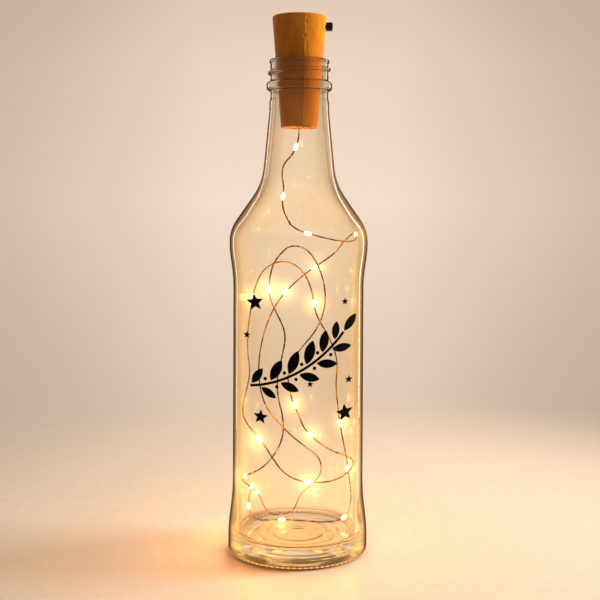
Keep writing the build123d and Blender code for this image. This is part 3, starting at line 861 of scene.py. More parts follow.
@dataclass
class Bottle:
    """The clear bottle with its thread and knurled foot, and the vinyl cut-outs stuck on it."""

    foot_radius: float = 31.1 * MM
    foot_band_height: float = 11 * MM
    foot_top: float = 27.5 * MM
    body_low_radius: float = 29.1 * MM
    body_top_radius: float = 28.7 * MM
    body_top: float = 122.5 * MM
    bulge_radius: float = 30.4 * MM
    bulge_low: float = 135 * MM
    bulge_top: float = 143.5 * MM
    neck_low_radius: float = 16.16 * MM
    neck_low: float = 163.9 * MM
    neck_top_radius: float = 13.05 * MM
    neck_top: float = 195 * MM
    collar_top: float = 199 * MM
    groove_radius: float = 12.6 * MM
    groove_low: float = 200.2 * MM
    bead_radius: float = 14.3 * MM
    bead_low: float = 203.4 * MM
    bead_top: float = 208 * MM
    bead_slope: float = 0.9 * MM
    finish_radius: float = 12.55 * MM
    finish_top: float = 215.7 * MM
    lip_radius: float = 13 * MM
    height: float = 217.2 * MM
    mouth_radius: float = 10.5 * MM
    neck_wall: float = 2.45 * MM
    shoulder_wall: float = 2.2 * MM
    body_wall: float = 2 * MM
    floor_height: float = 7 * MM
    floor_crown: float = 1.2 * MM
    push_up_height: float = 3.6 * MM
    push_up_edge_radius: float = 21.5 * MM
    push_up_edge_height: float = 2.2 * MM
    stand_ring_radius: float = 27.1 * MM
    thread_depth: float = 1.05 * MM
    thread_low: float = 209.75 * MM
    thread_pitch: float = 3.2 * MM
    thread_turns: float = 1.5
    thread_root: float = 1.0 * MM
    thread_crest: float = 0.35 * MM
    thread_fade: float = 0.07
    outer_ripple: float = 0.05 * MM
    inner_ripple: float = 0.16 * MM
    seam_height: float = 0.07 * MM
    seam_angle: float = 0.16
    columns: int = 266
    knurl_count: int = 78
    knurl_radius: float = 0.8 * MM
    knurl_ring_radius: float = 30.05 * MM
    knurl_height: float = 1.05 * MM
    # How far the painted glow of each light reaches on the glass.
    painted_glow_reach: float = 4.3 * MM
    decals: tuple[str, ...] = (
        "sprig_stem_decal", "sprig_leaves_decal", "sprig_berries_decal", "star_decal_1", "star_decal_2",
        "star_decal_3", "star_decal_4", "star_decal_5", "star_decal_6", "star_decal_7",
    )
    knurl_flatness: float = 0.55
    # The painted glow's faint wide part and its reach, and its level at a light and far from the lights, on
    # the glass and on the knurls.
    far_painted_glow: float = 0.02
    far_painted_glow_reach: float = 17.2 * MM
    glass_painted_glow: Place = (0.8, 0.0)
    knurl_painted_glow: Place = (2.4, 0.7)
    arc_step: float = radians(9)
    run_step: float = 2.6 * MM
    thread_step: float = 0.24 * MM
    ring_step: float = 0.9 * MM
    rings: tuple[Place, ...] = ((12.5 * MM, 0.8 * MM), (17.8 * MM, 0.6 * MM))
    ring_height: float = 0.35 * MM
    ripple_across: float = 1.6
    ripple_up: float = 26
    inner_ripple_shift: Point = (7.0, 3.0, 1.0)
    seam_width: float = 0.22 * MM
    seam_step: float = 0.007
    seam_clear: float = 0.004
    upright_slack: float = 1e-4
    steepest_wall: float = 0.8

    def inside(self, before: Place, corner: Place, after: Place, wall: float) -> Place:
        """The corner of a line that stays one wall inside the two runs that meet here.

        Args:
            before: The outer corner before.
            corner: The outer corner.
            after: The outer corner after.
            wall: The wall's thickness.

        Returns:
            The inner corner.
        """
        first = (Vector(corner) - Vector(before)).normalized()
        second = (Vector(after) - Vector(corner)).normalized()
        first_inward = Vector((-first.y, first.x))
        inward = (first_inward + Vector((-second.y, second.x))).normalized()
        return tuple(Vector(corner) + inward * (wall / inward.dot(first_inward)))

    def longest_step(self, start: Place, end: Place) -> float:
        """How finely a run of the outline is divided, for the thread and the push-up's rings.

        Args:
            start: The run's start as radius and height.
            end: The run's end.

        Returns:
            The longest step along the run.
        """
        lowest, highest = min(start[1], end[1]), max(start[1], end[1])
        if lowest >= self.bead_top - 0.1 * MM and min(start[0], end[0]) > self.groove_radius - 0.2 * MM:
            return self.thread_step
        if highest <= self.push_up_height + 0.01 * MM and start[0] < self.stand_ring_radius:
            return self.ring_step
        return UNDIVIDED

    def outline(self) -> Outline:
        """The whole section, from the middle of the push-up up the outside and down the inside.

        Returns:
            Its points as radius and height.
        """
        foot = (self.foot_radius, self.foot_band_height)
        low = (self.body_low_radius, self.foot_top)
        top = (self.body_top_radius, self.body_top)
        bulge_low = (self.bulge_radius, self.bulge_low)
        bulge_top = (self.bulge_radius, self.bulge_top)
        neck_low = (self.neck_low_radius, self.neck_low)
        neck_top = (self.neck_top_radius, self.neck_top)
        outer = [
            (0, self.push_up_height), (self.push_up_edge_radius, self.push_up_edge_height),
            (self.stand_ring_radius, 0), (self.foot_radius, 0), foot, low, top, bulge_low, bulge_top,
            neck_low, neck_top, (self.neck_top_radius, self.collar_top),
            (self.groove_radius, self.groove_low), (self.groove_radius, self.bead_low),
            (self.bead_radius, self.bead_low + self.bead_slope),
            (self.bead_radius, self.bead_top - self.bead_slope), (self.finish_radius, self.bead_top),
            (self.finish_radius, self.finish_top), (self.lip_radius, self.finish_top),
            (self.lip_radius, self.height), (self.mouth_radius, self.height),
        ]
        outer_shares = [0.4, 0.08, 0.7, 0.3, 0.3, 0.3, 0.35, 0.6, 0.27, 0.4]
        outer_shares += [0.4, 0.4, 0.4, 0.45, 0.45, 0.3, 0.1, 0.4, 0.45, 0.4]
        bore = self.body_low_radius - self.body_wall
        inner = [
            (self.mouth_radius, self.neck_top), self.inside(bulge_top, neck_low, neck_top, self.neck_wall),
            self.inside(bulge_low, bulge_top, neck_low, self.shoulder_wall),
            self.inside(top, bulge_low, bulge_top, self.shoulder_wall),
            self.inside(low, top, bulge_low, self.body_wall), (bore, self.foot_top),
            (bore, self.floor_height), (0, self.floor_height + self.floor_crown),
        ]
        inner_shares = [0.2, 0.27, 0.55, 0.35, 0.3, 0.2, 0.22]
        coarse = rounded_outline(outer + inner, outer_shares + inner_shares, self.arc_step, self.run_step)
        return divided(coarse, self.longest_step)

    def thread(self, height: float, angle: float) -> float:
        """How far the thread stands out.

        Args:
            height: The height to read it at.
            angle: The angle round the axis.

        Returns:
            Its height over the glass.
        """
        raised = 0.0
        turn = (angle % tau) / tau
        while turn < self.thread_turns:
            off = abs(height - self.thread_low - turn * self.thread_pitch)
            form = 1 - smooth_step(off, self.thread_crest, self.thread_root)
            ends = smooth_step(turn, 0, self.thread_fade) * (
                1 - smooth_step(turn, self.thread_turns - self.thread_fade, self.thread_turns))
            raised = max(raised, form * ends)
            turn += 1
        return raised * self.thread_depth

    def shape(self, inner: bool, radius: float, height: float, angle: float) -> Place:
        """Shape one point of the glass.

        Args:
            inner: True on the inside of the glass.
            radius: The plain radius.
            height: The plain height.
            angle: The angle round the axis.

        Returns:
            The shaped radius and height.
        """
        across = self.ripple_across
        along = Vector((cos(angle) * across, sin(angle) * across, height * self.ripple_up))
        if inner:
            calm = smooth_step(height, self.floor_height, self.foot_top) * (
                1 - smooth_step(height, self.neck_low, self.neck_top))
            ripple = noise.noise(along + Vector(self.inner_ripple_shift))
            return radius + self.inner_ripple * calm * ripple, height
        if height < self.push_up_height and radius < self.stand_ring_radius:
            return radius, height + self.ring_height * sum(bell(radius, *ring) for ring in self.rings)
        if height > self.bead_top:
            return radius + self.thread(height, angle), height
        calm = smooth_step(height, self.foot_band_height, self.foot_top)
        inward = self.outer_ripple * calm * (0.5 + 0.5 * noise.noise(along))
        seam = min(abs(angle_gap(angle, self.seam_angle)), abs(angle_gap(angle, self.seam_angle + pi)))
        ridge = self.seam_height * bell(seam * radius, 0, self.seam_width) * calm
        return radius - inward + ridge, height

    def part(self, face: bpy.types.MeshPolygon) -> GlassPart:
        """Tell which part of the glass a face belongs to.

        Args:
            face: The face.

        Returns:
            The part.
        """
        middle, normal = face.center, face.normal
        across = hypot(middle.x, middle.y)
        inward = normal.x * middle.x + normal.y * middle.y < -self.upright_slack * across
        if inward and abs(normal.z) < self.steepest_wall and middle.z > self.floor_height:
            return GlassPart.WALL
        in_foot = middle.z < self.foot_top and across < self.stand_ring_radius
        in_mouth = middle.z > self.neck_low and across < self.mouth_radius + 0.05 * MM
        return GlassPart.INSIDE if inward or in_foot or in_mouth else GlassPart.OUTSIDE

    def glass_mesh(self) -> Mesh:
        """Turn the bottle, with its thread, seams, ripples and the rings of its push-up.

        Returns:
            The mesh, with each face given its part.
        """
        outline = self.outline()
        lip = max(range(len(outline)), key=lambda row: (outline[row][1], row))
        plain = [tau * column / self.columns for column in range(self.columns)]
        seams = [(self.seam_angle + side * pi + step * self.seam_step) % tau
                 for side in range(2) for step in range(-2, 3)]
        clear = [angle for angle in plain
                 if all(abs(angle_gap(angle, seam)) > self.seam_clear for seam in seams)]
        mesh = lathe(outline, sorted(clear + seams), lambda row, *spot: self.shape(row > lip, *spot), False)
        for face in mesh.polygons:
            face.material_index = self.part(face).value
        return mesh

    def paint_glow_of_lights(self, mesh: Mesh, lights: list[Vector], level: float, least: float) -> None:
        """Write how much painted glow each place of the glass gets from the lights beside it.

        Args:
            mesh: The glass.
            lights: The middle of each light.
            level: How bright a place right at a light is.
            least: How bright a place far from the lights is.
        """
        places = np.empty(len(mesh.vertices) * 3, dtype=np.float32)
        mesh.vertices.foreach_get("co", places)
        places = places.reshape(-1, 3)
        painted_glow = np.full(len(places), least, dtype=np.float32)
        for light in lights:
            gap = np.linalg.norm(places - np.array(light, dtype=np.float32), axis=1)
            painted_glow += level * np.exp(-((gap / self.painted_glow_reach) ** 2))
            painted_glow += level * self.far_painted_glow * np.exp(-gap / self.far_painted_glow_reach)
        mesh.attributes.new("painted_lamp_glow", "FLOAT", "POINT").data.foreach_set("value", painted_glow)

    def knurls(self, glass: Material) -> Piece:
        """Set a ring of low dots round the underside of the foot.

        Args:
            glass: The dots' finish.

        Returns:
            The ring of dots as one piece.
        """
        tree = Tree("foot_knurls", glass, Count=self.knurl_count, Ring_Radius=self.knurl_ring_radius,
                    Dot_Radius=self.knurl_radius, Height=self.knurl_height)
        ring = tree.node("GeometryNodeMeshCircle",
                         {"Vertices": tree.read("Count"), "Radius": tree.read("Ring Radius")})
        dot = tree.node("GeometryNodeMeshUVSphere",
                        {"Segments": 10, "Rings": 6, "Radius": tree.read("Dot Radius")})
        low = tree.node("GeometryNodeTransform",
                        {"Geometry": dot.outputs["Mesh"], "Scale": (1.0, 1.0, self.knurl_flatness)})
        dots = tree.node("GeometryNodeInstanceOnPoints",
                         {"Points": ring.outputs["Mesh"], "Instance": low.outputs["Geometry"]})
        lift = tree.node("ShaderNodeCombineXYZ", {"Z": tree.read("Height")})
        placed = tree.node("GeometryNodeTransform",
                           {"Geometry": dots.outputs["Instances"], "Translation": lift.outputs["Vector"]})
        tree.finish(placed.outputs["Geometry"])
        return tree.run(bpy.data.meshes.new("knurl_base"), "bottle_foot_knurls")

    def build(self, finishes: Finishes, lights: list[Vector]) -> list[Piece]:
        """Build the glass and dress the cut-outs.

        Args:
            finishes: The light's finishes.
            lights: The middle of each light.

        Returns:
            The new pieces.
        """
        looks = {GlassPart.OUTSIDE: finishes.outer_glass, GlassPart.INSIDE: finishes.inner_glass,
                 GlassPart.WALL: finishes.wall_glass}
        glass = make_piece("bottle_body_glass", self.glass_mesh(), *(looks[part] for part in GlassPart))
        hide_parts("bottle_glass")
        knurls = self.knurls(finishes.knurl_glass)
        # Paint a glow of the lights onto the glass and the knurls.
        self.paint_glow_of_lights(glass.data, lights, *self.glass_painted_glow)
        self.paint_glow_of_lights(knurls.data, lights, *self.knurl_painted_glow)
        for piece in (glass, knurls):
            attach(piece, Body.BOTTLE.value)
        for decal in self.decals:
            dress(decal, finishes.vinyl)
        return [glass, knurls]


@dataclass(frozen=True)
class Mark:
    """A raised or sunk mark on the stopper's skin: its turn from the front, height, size and depth."""

    turn: float
    height: float
    across: float
    tall: float
    raised: float

    def at(self, turn: float, radius: float, height: float) -> float:
        """How far this mark moves the skin at a place."""
        sideways = bell((turn - self.turn) * radius, 0, self.across)
        return self.raised * sideways * bell(height, self.height, self.tall)


@dataclass
class Stopper:
    """The hollow moulded stopper, with its parting ridge, pits and switch slot, and the wire's collar."""

    bottom: float = 187.66 * MM
    top: float = 235.66 * MM
    bottom_radius: float = 7.95 * MM
    top_radius: float = 11.85 * MM
    wire_hole_radius: float = 1.6 * MM
    recess_radius: float = 9.2 * MM
    recess_floor: float = 234.06 * MM
    pocket_radius: float = 7.8 * MM
    pocket_floor: float = 208.16 * MM
    web_hole_radius: float = 2.4 * MM
    room_radius: float = 5.4 * MM
    room_low: float = 190.66 * MM
    room_top: float = 206.16 * MM
    slot_low: float = 229.98 * MM
    slot_width: float = 4.5 * MM
    mouth_height: float = 217.2 * MM
    columns: int = 300
    row_step: float = 0.42 * MM
    grain: float = 0.045 * MM
    ridge: float = 0.1 * MM
    ridge_turn: float = 0.2
    arc_step: float = radians(18)
    run_step: float = 4 * MM
    skin_depth: float = 1.1 * MM
    underside_edge: float = 0.7 * MM
    low_edge: Place = (0.2 * MM, 1.4 * MM)
    top_edge: float = 0.9 * MM
    in_neck: Place = (2 * MM, 1.2 * MM)
    ridge_width: float = 0.28 * MM
    grain_waves: tuple[Place, ...] = ((900, 1.0), (2300, 0.6), (250, 0.8))
    grain_stretch: float = 0.6
    grain_middle: float = 0.6
    most_in_neck: float = 0.1 * MM
    sharp_angle: float = radians(50)
    marks: tuple[Mark, ...] = tuple(Mark(turn, *(length * MM for length in lengths)) for turn, *lengths in (
        (0.2, 233.5, 0.6, 0.5, 0.16), (0.22, 231.8, 0.5, 0.4, -0.3), (0.2, 230.9, 0.6, 0.5, 0.2),
        (0.2, 226, 0.5, 0.6, -0.35), (0.19, 221.5, 0.35, 2.2, 0.12), (-0.96, 227.2, 0.3, 2.4, -0.4),
        (-0.98, 220.4, 0.28, 1.2, -0.32), (1.09, 231.6, 1.0, 0.8, 0.28), (1.2, 225.8, 0.7, 0.7, -0.4),
        (1.2, 222, 0.25, 3.2, -0.15), (-0.35, 191.2, 0.35, 0.7, -0.2), (-0.2, 192.3, 0.35, 0.7, -0.2),
        (-0.06, 193.4, 0.35, 0.7, -0.2), (1.35, 194, 1.6, 2.6, 0.4), (2.6, 224, 0.4, 2.6, -0.35),
        (-2.4, 229, 0.8, 0.7, 0.25), (-2.1, 203, 0.4, 1.5, -0.3), (-1.9, 222.5, 0.35, 1.8, -0.3),
    ))

    def skin_radius(self, height: float) -> float:
        """The stopper's outer radius at a height."""
        share = (height - self.bottom) / (self.top - self.bottom)
        return self.bottom_radius + share * (self.top_radius - self.bottom_radius)

    def longest_step(self, start: Place, end: Place) -> float:
        """How finely a run of the outline is divided, for the marks on the skin."""
        sunk = max(self.skin_radius(height) - radius for radius, height in (start, end))
        return self.row_step if sunk < 0.2 * MM else UNDIVIDED

    def outline(self) -> Outline:
        """The section of the wall as a ring, from the wire hole round the outside and back.

        Returns:
            Its points as radius and height.
        """
        middle = (self.wire_hole_radius, (self.bottom + self.room_low) / 2)
        corners = [
            middle, (self.wire_hole_radius, self.bottom), (self.bottom_radius, self.bottom),
            (self.top_radius, self.top), (self.recess_radius, self.top),
            (self.recess_radius, self.recess_floor), (self.pocket_radius, self.recess_floor),
            (self.pocket_radius, self.pocket_floor),
            (self.web_hole_radius, self.pocket_floor), (self.web_hole_radius, self.room_top),
            (self.room_radius, self.room_top), (self.room_radius, self.room_low),
            (self.wire_hole_radius, self.room_low), middle,
        ]
        shares = [0.25, 0.1, 0.38, 0.12, 0.1, 0.1, 0.1, 0.1, 0.1, 0.1, 0.1, 0.1]
        rounded = rounded_outline(corners, shares, self.arc_step, self.run_step)
        return divided(rounded, self.longest_step)[:-1]

    def shape(self, radius: float, height: float, angle: float) -> Place:
        """Shape one point of the stopper.

        Args:
            radius: The plain radius.
            height: The plain height.
            angle: The angle round the axis.

        Returns:
            The shaped radius and height.
        """
        innermost = max(self.skin_radius(height) - self.skin_depth,
                        self.bottom_radius - self.underside_edge)
        if radius < innermost:
            return radius, height
        turn = angle_gap(angle, FRONT)
        edge = smooth_step(height, *(self.bottom + rise for rise in self.low_edge)) * (
            1 - smooth_step(height, self.top - self.top_edge, self.top))
        place = Vector((cos(angle) * radius, sin(angle) * radius, height * self.grain_stretch))
        rough = sum(share * noise.noise(place * waves) for waves, share in self.grain_waves)
        seam = min(abs(turn - self.ridge_turn), abs(angle_gap(turn, self.ridge_turn + pi)))
        moved = self.grain * (rough - self.grain_middle)
        moved += self.ridge * bell(seam * radius, 0, self.ridge_width)
        moved += sum(mark.at(turn, radius, height) for mark in self.marks)
        low, high = self.in_neck
        if self.bottom + low < height < self.mouth_height + high:
            moved = min(moved, self.most_in_neck)
        return radius + moved * edge, height

    def shell_mesh(self) -> Mesh:
        """Turn the shell and cut the switch slot into it.

        Returns:
            The mesh.
        """
        angles = [tau * column / self.columns for column in range(self.columns)]
        turned = lathe(self.outline(), angles, lambda row, *spot: self.shape(*spot), True)
        shell = make_piece("plain_shell", turned)
        box = bmesh.new()
        reach = self.top_radius
        size = Matrix.Diagonal((reach, self.slot_width, 2 * (self.top - self.slot_low), 1))
        bmesh.ops.create_cube(box, size=1, matrix=Matrix.Translation((reach, 0, self.top)) @ size)
        cutter = make_piece("slot", plain_mesh(box, "slot"))
        cut = shell.modifiers.new("slot", "BOOLEAN")
        cut.operation = "DIFFERENCE"
        cut.solver = "EXACT"
        cut.object = cutter
        mesh = take_mesh(shell)
        bpy.data.objects.remove(cutter)
        mesh.set_sharp_from_angle(angle=self.sharp_angle)
        return mesh

    def build(self, finishes: Finishes) -> list[Piece]:
        """Build the stopper and dress its collar.

        Args:
            finishes: The light's finishes.

        Returns:
            The new pieces.
        """
        shell = make_piece("stopper_shell", self.shell_mesh(), finishes.cork)
        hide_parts("cork_shell")
        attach(shell, Body.STOPPER.value)
        dress("wire_grommet", finishes.rubber)
        return [shell]


@dataclass
class BatteryModule:
    """The case, cells, contacts, board and switch, whose solids are shown as they are."""

    def build(self, finishes: Finishes) -> list[Piece]:
        """Dress the case, what it holds, and the switch.

        Args:
            finishes: The light's finishes.

        Returns:
            The dressed nodes.
        """
        looks = (
            (finishes.black, ("battery_case", "resistor", "switch_knob")),
            (finishes.cork, ("case_lid",)),
            (finishes.cell, ("button_cell_1", "button_cell_2", "button_cell_3")),
            (finishes.plated, ("contact_minus", "contact_plus", "switch_housing", "switch_pins")),
            (finishes.board, ("circuit_board",)),
        )
        dressed = [(node, material) for material, nodes in looks for node in nodes]
        for node, material in dressed:
            dress(node, material)
        return [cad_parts[node] for node, material in dressed]


@dataclass
class LightString:
    """The string of lights: twisted enamelled wire with a resin drop over each light."""

    wire_diameter: float = 0.7 * MM
    strand_radius: float = 0.29 * MM
    lay_radius: float = 0.07 * MM
    lay_length: float = 4.6 * MM
    step: float = 0.55 * MM
    drop_length: float = 3.4 * MM
    drop_radius: float = 1.05 * MM
    drop_end_radius: float = 0.48 * MM
    chip: Point = (0.32 * MM, 0.5 * MM, 1.0 * MM)
    follow_start: float = 140.5 * MM
    follow_end: float = 187.66 * MM
    follow_span: float = 470 * MM
    upper_route: tuple[Point, ...] = (
        (0, 0, 191.66), (0, 0, 187), (-0.3, -1, 182.5), (-2.5, -1.5, 176.5), (-7, -1, 172),
        (-7.5, 0, 166.5), (-6.5, 0.5, 161.5), (-7.5, -1, 154), (-5, -2.5, 147.5), (0, -4.5, 143.5),
        (8, -6, 141), (16.5, -7, 139), (23, -7, 138.5), (25.5, -5, 140.5), (25, 0.5, 143.5),
        (22.5, 5, 140.5),
    )
    lower_route: tuple[Point, ...] = (
        (22.5, 5, 140.5), (20, 9.5, 137.5), (17, 16, 133), (10.5, 21.5, 128.5), (4, 24, 124),
        (-2.5, 25, 118), (-9, 24, 110.5), (-14, 21.5, 102), (-17.5, 18.5, 92.5), (-19, 17, 82.5),
        (-18.5, 17.5, 71.5), (-15.5, 20.5, 61), (-9.5, 24, 53), (-3, 25.5, 46), (4.5, 25, 40.5),
        (10.5, 23, 36.5), (11.5, 22.5, 29.5), (7, 24.5, 23), (1, 25, 17.5), (-0.5, 22.5, 11.5),
        (-3, 15.5, 9.8), (-8, 10.5, 9.8), (-13.5, 11.5, 9.8), (-17, 15.5, 13), (-18.5, 18, 18.5),
        (-21.5, 13.5, 23.5), (-24.8, 5, 29), (-24.8, -4, 33.5), (-20.5, -13.5, 37.5),
        (-14.5, -20, 42), (-9.5, -22.8, 48.5), (-6, -24, 56), (-6, -23.8, 64.5), (-8.5, -24, 74),
        (-8.5, -24.2, 83.5), (-6, -25, 93), (-5, -25.2, 101), (-8.5, -24.2, 108.5),
        (-12, -22.5, 115.5), (-12, -22.5, 123), (-10.5, -21.5, 130), (-7, -15.5, 134.5),
        (-3.5, -6, 137), (2, 5, 136), (7, 15, 131), (10.5, 20, 123.5), (12.5, 19.5, 115),
        (12, 19.8, 105), (8, 22.5, 95.5), (0.5, 24.5, 87), (-5.5, 24.5, 77), (-4, 25, 65),
        (0, 25.5, 56.5), (3, 25.4, 49.5), (9, 23.5, 44), (16.5, 18, 40.5), (23, 9, 41),
        (25.7, -2, 41), (22, -13.5, 39), (16, -20, 36.5), (8.5, -24, 36.5), (0.5, -25.3, 37.5),
        (-6, -24.8, 41), (-10.5, -23.3, 47), (-14, -21.5, 52.5), (-18, -18, 56.5),
        (-23, -10, 61), (-24.8, -1.5, 64.5), (-23.8, 6.5, 70), (-22, 10.5, 78.5), (-23.5, 9.5, 88),
        (-23.5, 9.5, 98), (-22.5, 12, 108), (-21, 14.5, 117), (-17, 18.5, 125), (-10, 23, 129),
        (-1.5, 25, 128), (4, 25.4, 121.5), (6.5, 24.5, 114), (8, 24, 103.5), (14.5, 21, 93.5),
        (18.5, 17.5, 83), (17.5, 18.8, 71.5), (19, 17.5, 59.5), (21, 15, 49), (23.5, 10.5, 39),
        (24.5, 7.5, 30), (25.4, 1.5, 22), (24.5, 3, 13), (20, 3.8, 9.6), (12.5, 1.5, 9.5),
        (5, 3, 9.5), (-3, 4.5, 9.5), (-12, 4.5, 9.5), (-19, 2.5, 10), (-23, 3.5, 13.5),
        (-23.8, 6, 19.5), (-22, 8.5, 24.5),
    )
    upper_lights: tuple[int, ...] = (2, 6, 9, 13)
    lower_light_count: int = 16
    lead_route: tuple[Point, ...] = (
        (0, 0, 191.66), (0, 0.4, 193.66), (1.8, 1.2, 196.17), (0.6, -2, 198.67), (-2.2, -0.8, 201.35),
        (-0.8, 1.4, 204.02), (0, 0.3, 206.52), (0, 0, 208.36),
    )
    strand_sides: int = 7
    curve_steps: int = 12
    drop_columns: int = 20
    drop_rows: int = 7
    drop_cap: float = 0.6
    drop_unevenness: float = 0.05
    drop_waves: float = 900
    chip_gap: float = 0.02 * MM
    chip_edge: float = 0.05 * MM

    def upper_runs(self) -> list[tuple[Point, Point]]:
        """The two ends of each run of the upper route that holds a light."""
        return [(self.upper_route[run], self.upper_route[run + 1]) for run in self.upper_lights]

    def lower_drops(self) -> list[str]:
        """The nodes of the drops on the lower stretch."""
        first = len(self.upper_lights) + 1
        return [f"led_drop_{number:02d}" for number in range(first, first + self.lower_light_count)]

    def light_places(self) -> list[Vector]:
        """The middle of each light, from the top down the string.

        Returns:
            The middles.
        """
        places = [(Vector(start) + Vector(end)) * MM / 2 for start, end in self.upper_runs()]
        for drop in self.lower_drops():
            low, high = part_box(drop)
            places.append((Vector(low) + Vector(high)) / 2)
        return places

    def spline(self, route: Iterable[Point]) -> list[Point]:
        """Lay a smooth NURBS line along a route.

        Args:
            route: The route's points, in millimetres.

        Returns:
            Close points along the line, in metres.
        """
        points = [tuple(part * MM for part in point) for point in route]
        curve = bpy.data.curves.new("route", "CURVE")
        curve.dimensions = "3D"
        line = curve.splines.new("NURBS")
        line.points.add(len(points) - 1)
        for target, point in zip(line.points, points):
            target.co = (*point, 1.0)
        line.order_u = 3
        line.use_endpoint_u = True
        line.resolution_u = self.curve_steps
        holder = bpy.data.objects.new("route", curve)
        bpy.context.scene.collection.objects.link(holder)
        bpy.context.view_layer.update()
        mesh = bpy.data.meshes.new_from_object(holder)
        found = [tuple(vertex.co) for vertex in mesh.vertices]
        bpy.data.objects.remove(holder)
        bpy.data.meshes.remove(mesh)
        return found

    def strands(self, name: str, path: list[Point], wire: Material) -> Piece:
        """Twist two strands round a path.

        Args:
            name: The piece's name.
            path: Close points along the wire.
            wire: The wire's finish.

        Returns:
            The twisted wire as one piece.
        """
        tree = Tree(f"{name}_twist", wire, Strand_Radius=self.strand_radius, Lay_Radius=self.lay_radius,
                    Lay_Length=self.lay_length, Step=self.step)
        line = tree.node("GeometryNodeMeshToCurve", {"Mesh": tree.read("Geometry")})
        even = tree.node("GeometryNodeResampleCurve",
                         {"Curve": line.outputs["Curve"], "Length": tree.read("Step")}, mode="LENGTH")
        along = tree.node("GeometryNodeSplineParameter", {}).outputs["Length"]
        turns = tree.sum("DIVIDE", along, tree.read("Lay Length"))
        tangent = tree.node("GeometryNodeInputTangent", {}).outputs["Tangent"]
        normal = tree.node("GeometryNodeInputNormal", {}).outputs["Normal"]
        side = tree.vector("CROSS_PRODUCT", tangent, normal)
        ring = tree.node("GeometryNodeCurvePrimitiveCircle",
                         {"Resolution": self.strand_sides, "Radius": tree.read("Strand Radius")})
        both = tree.node("GeometryNodeJoinGeometry", {})
        for phase in (0.0, pi):
            angle = tree.sum("ADD", tree.sum("MULTIPLY", turns, tau), phase)
            out = tree.scaled(normal, tree.sum("COSINE", angle))
            across = tree.scaled(side, tree.sum("SINE", angle))
            shift = tree.scaled(tree.vector("ADD", out, across), tree.read("Lay Radius"))
            strand = tree.node("GeometryNodeSetPosition",
                               {"Geometry": even.outputs["Curve"], "Offset": shift})
            tube = tree.node("GeometryNodeCurveToMesh",
                             {"Curve": strand.outputs["Geometry"], "Profile Curve": ring.outputs["Curve"],
                              "Fill Caps": True})
            smooth = tree.node("GeometryNodeSetShadeSmooth", {"Geometry": tube.outputs["Mesh"]})
            tree.group.links.new(smooth.outputs["Geometry"], both.inputs["Geometry"])
        tree.finish(both.outputs["Geometry"])
        mesh = bpy.data.meshes.new(name)
        mesh.from_pydata(path, [(place, place + 1) for place in range(len(path) - 1)], [])
        return tree.run(mesh, name)

    def on_wire(self, start: Point, end: Point) -> Matrix:
        """The place and turn of something threaded on a run of the wire.

        Args:
            start: The run's start, in millimetres.
            end: The run's end, in millimetres.

        Returns:
            A matrix that lays the Z axis along the run, from its middle.
        """
        first, second = Vector(start) * MM, Vector(end) * MM
        way = (second - first).normalized()
        return Matrix.Translation((first + second) / 2) @ way.to_track_quat("Z", "Y").to_matrix().to_4x4()

    def uneven(self, radius: float, height: float, angle: float) -> Place:
        """Make a drop's resin a little uneven, as a dipped drop is."""
        wave = 1 + sin(angle + height * self.drop_waves)
        return radius * (1 - self.drop_unevenness * wave), height

    def drop_mesh(self, start: Point, end: Point) -> Mesh:
        """Turn one spindle-shaped drop and lay it along a run of the wire.

        Args:
            start: The run's start, in millimetres.
            end: The run's end, in millimetres.

        Returns:
            The drop, in place.
        """
        half = self.drop_length / 2
        rows = self.drop_rows
        sag = self.drop_radius - self.drop_end_radius
        shoulder = self.drop_end_radius * self.drop_cap
        outline: Outline = [(0, -half), (shoulder, -half)]
        outline += [(self.drop_radius - sag * (row / rows) ** 2, half * row / rows)
                    for row in range(-rows, rows + 1)]
        outline += [(shoulder, half), (0, half)]
        angles = [tau * column / self.drop_columns for column in range(self.drop_columns)]
        mesh = lathe(outline, angles, lambda row, *spot: self.uneven(*spot), False)
        mesh.transform(self.on_wire(start, end))
        return mesh

    def chip_mesh(self) -> Mesh:
        """Make the chips of the upper lights, each beside the wire inside its drop.

        Returns:
            The chips as one mesh, in place.
        """
        work = bmesh.new()
        beside = Matrix.Translation((self.wire_diameter / 2 + self.chip[0] / 2 + self.chip_gap, 0, 0))
        for start, end in self.upper_runs():
            place = self.on_wire(start, end) @ beside @ Matrix.Diagonal((*self.chip, 1))
            bmesh.ops.create_cube(work, size=1, matrix=place)
        bmesh.ops.bevel(work, geom=work.edges[:], offset=self.chip_edge, segments=2, profile=0.5,
                        affect="EDGES")
        bmesh.ops.recalc_face_normals(work, faces=work.faces)
        return plain_mesh(work, "chips")

    def follow(self, piece: Piece) -> None:
        """Bake a small piece's place into its mesh.

        Args:
            piece: The piece.
        """
        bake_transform(piece)

    def build_upper(self, finishes: Finishes) -> list[Piece]:
        """Build the stretch from the stopper to the shoulder.

        Args:
            finishes: The light's finishes.

        Returns:
            The new pieces.
        """
        path = self.spline(self.upper_route)
        wire = self.strands("upper_twisted_wire", path, finishes.wire)
        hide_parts("wire_upper")
        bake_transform(wire)
        drops = []
        for number, (start, end) in enumerate(self.upper_runs(), 1):
            drop = make_piece(f"lit_drop_{number}", self.drop_mesh(start, end), finishes.glow)
            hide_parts(f"led_drop_{number:02d}")
            self.follow(drop)
            drops.append(drop)
        chips = make_piece("upper_light_chips", self.chip_mesh(), finishes.chip)
        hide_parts("led_chips_upper")
        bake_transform(chips)
        return [wire, *drops, chips]

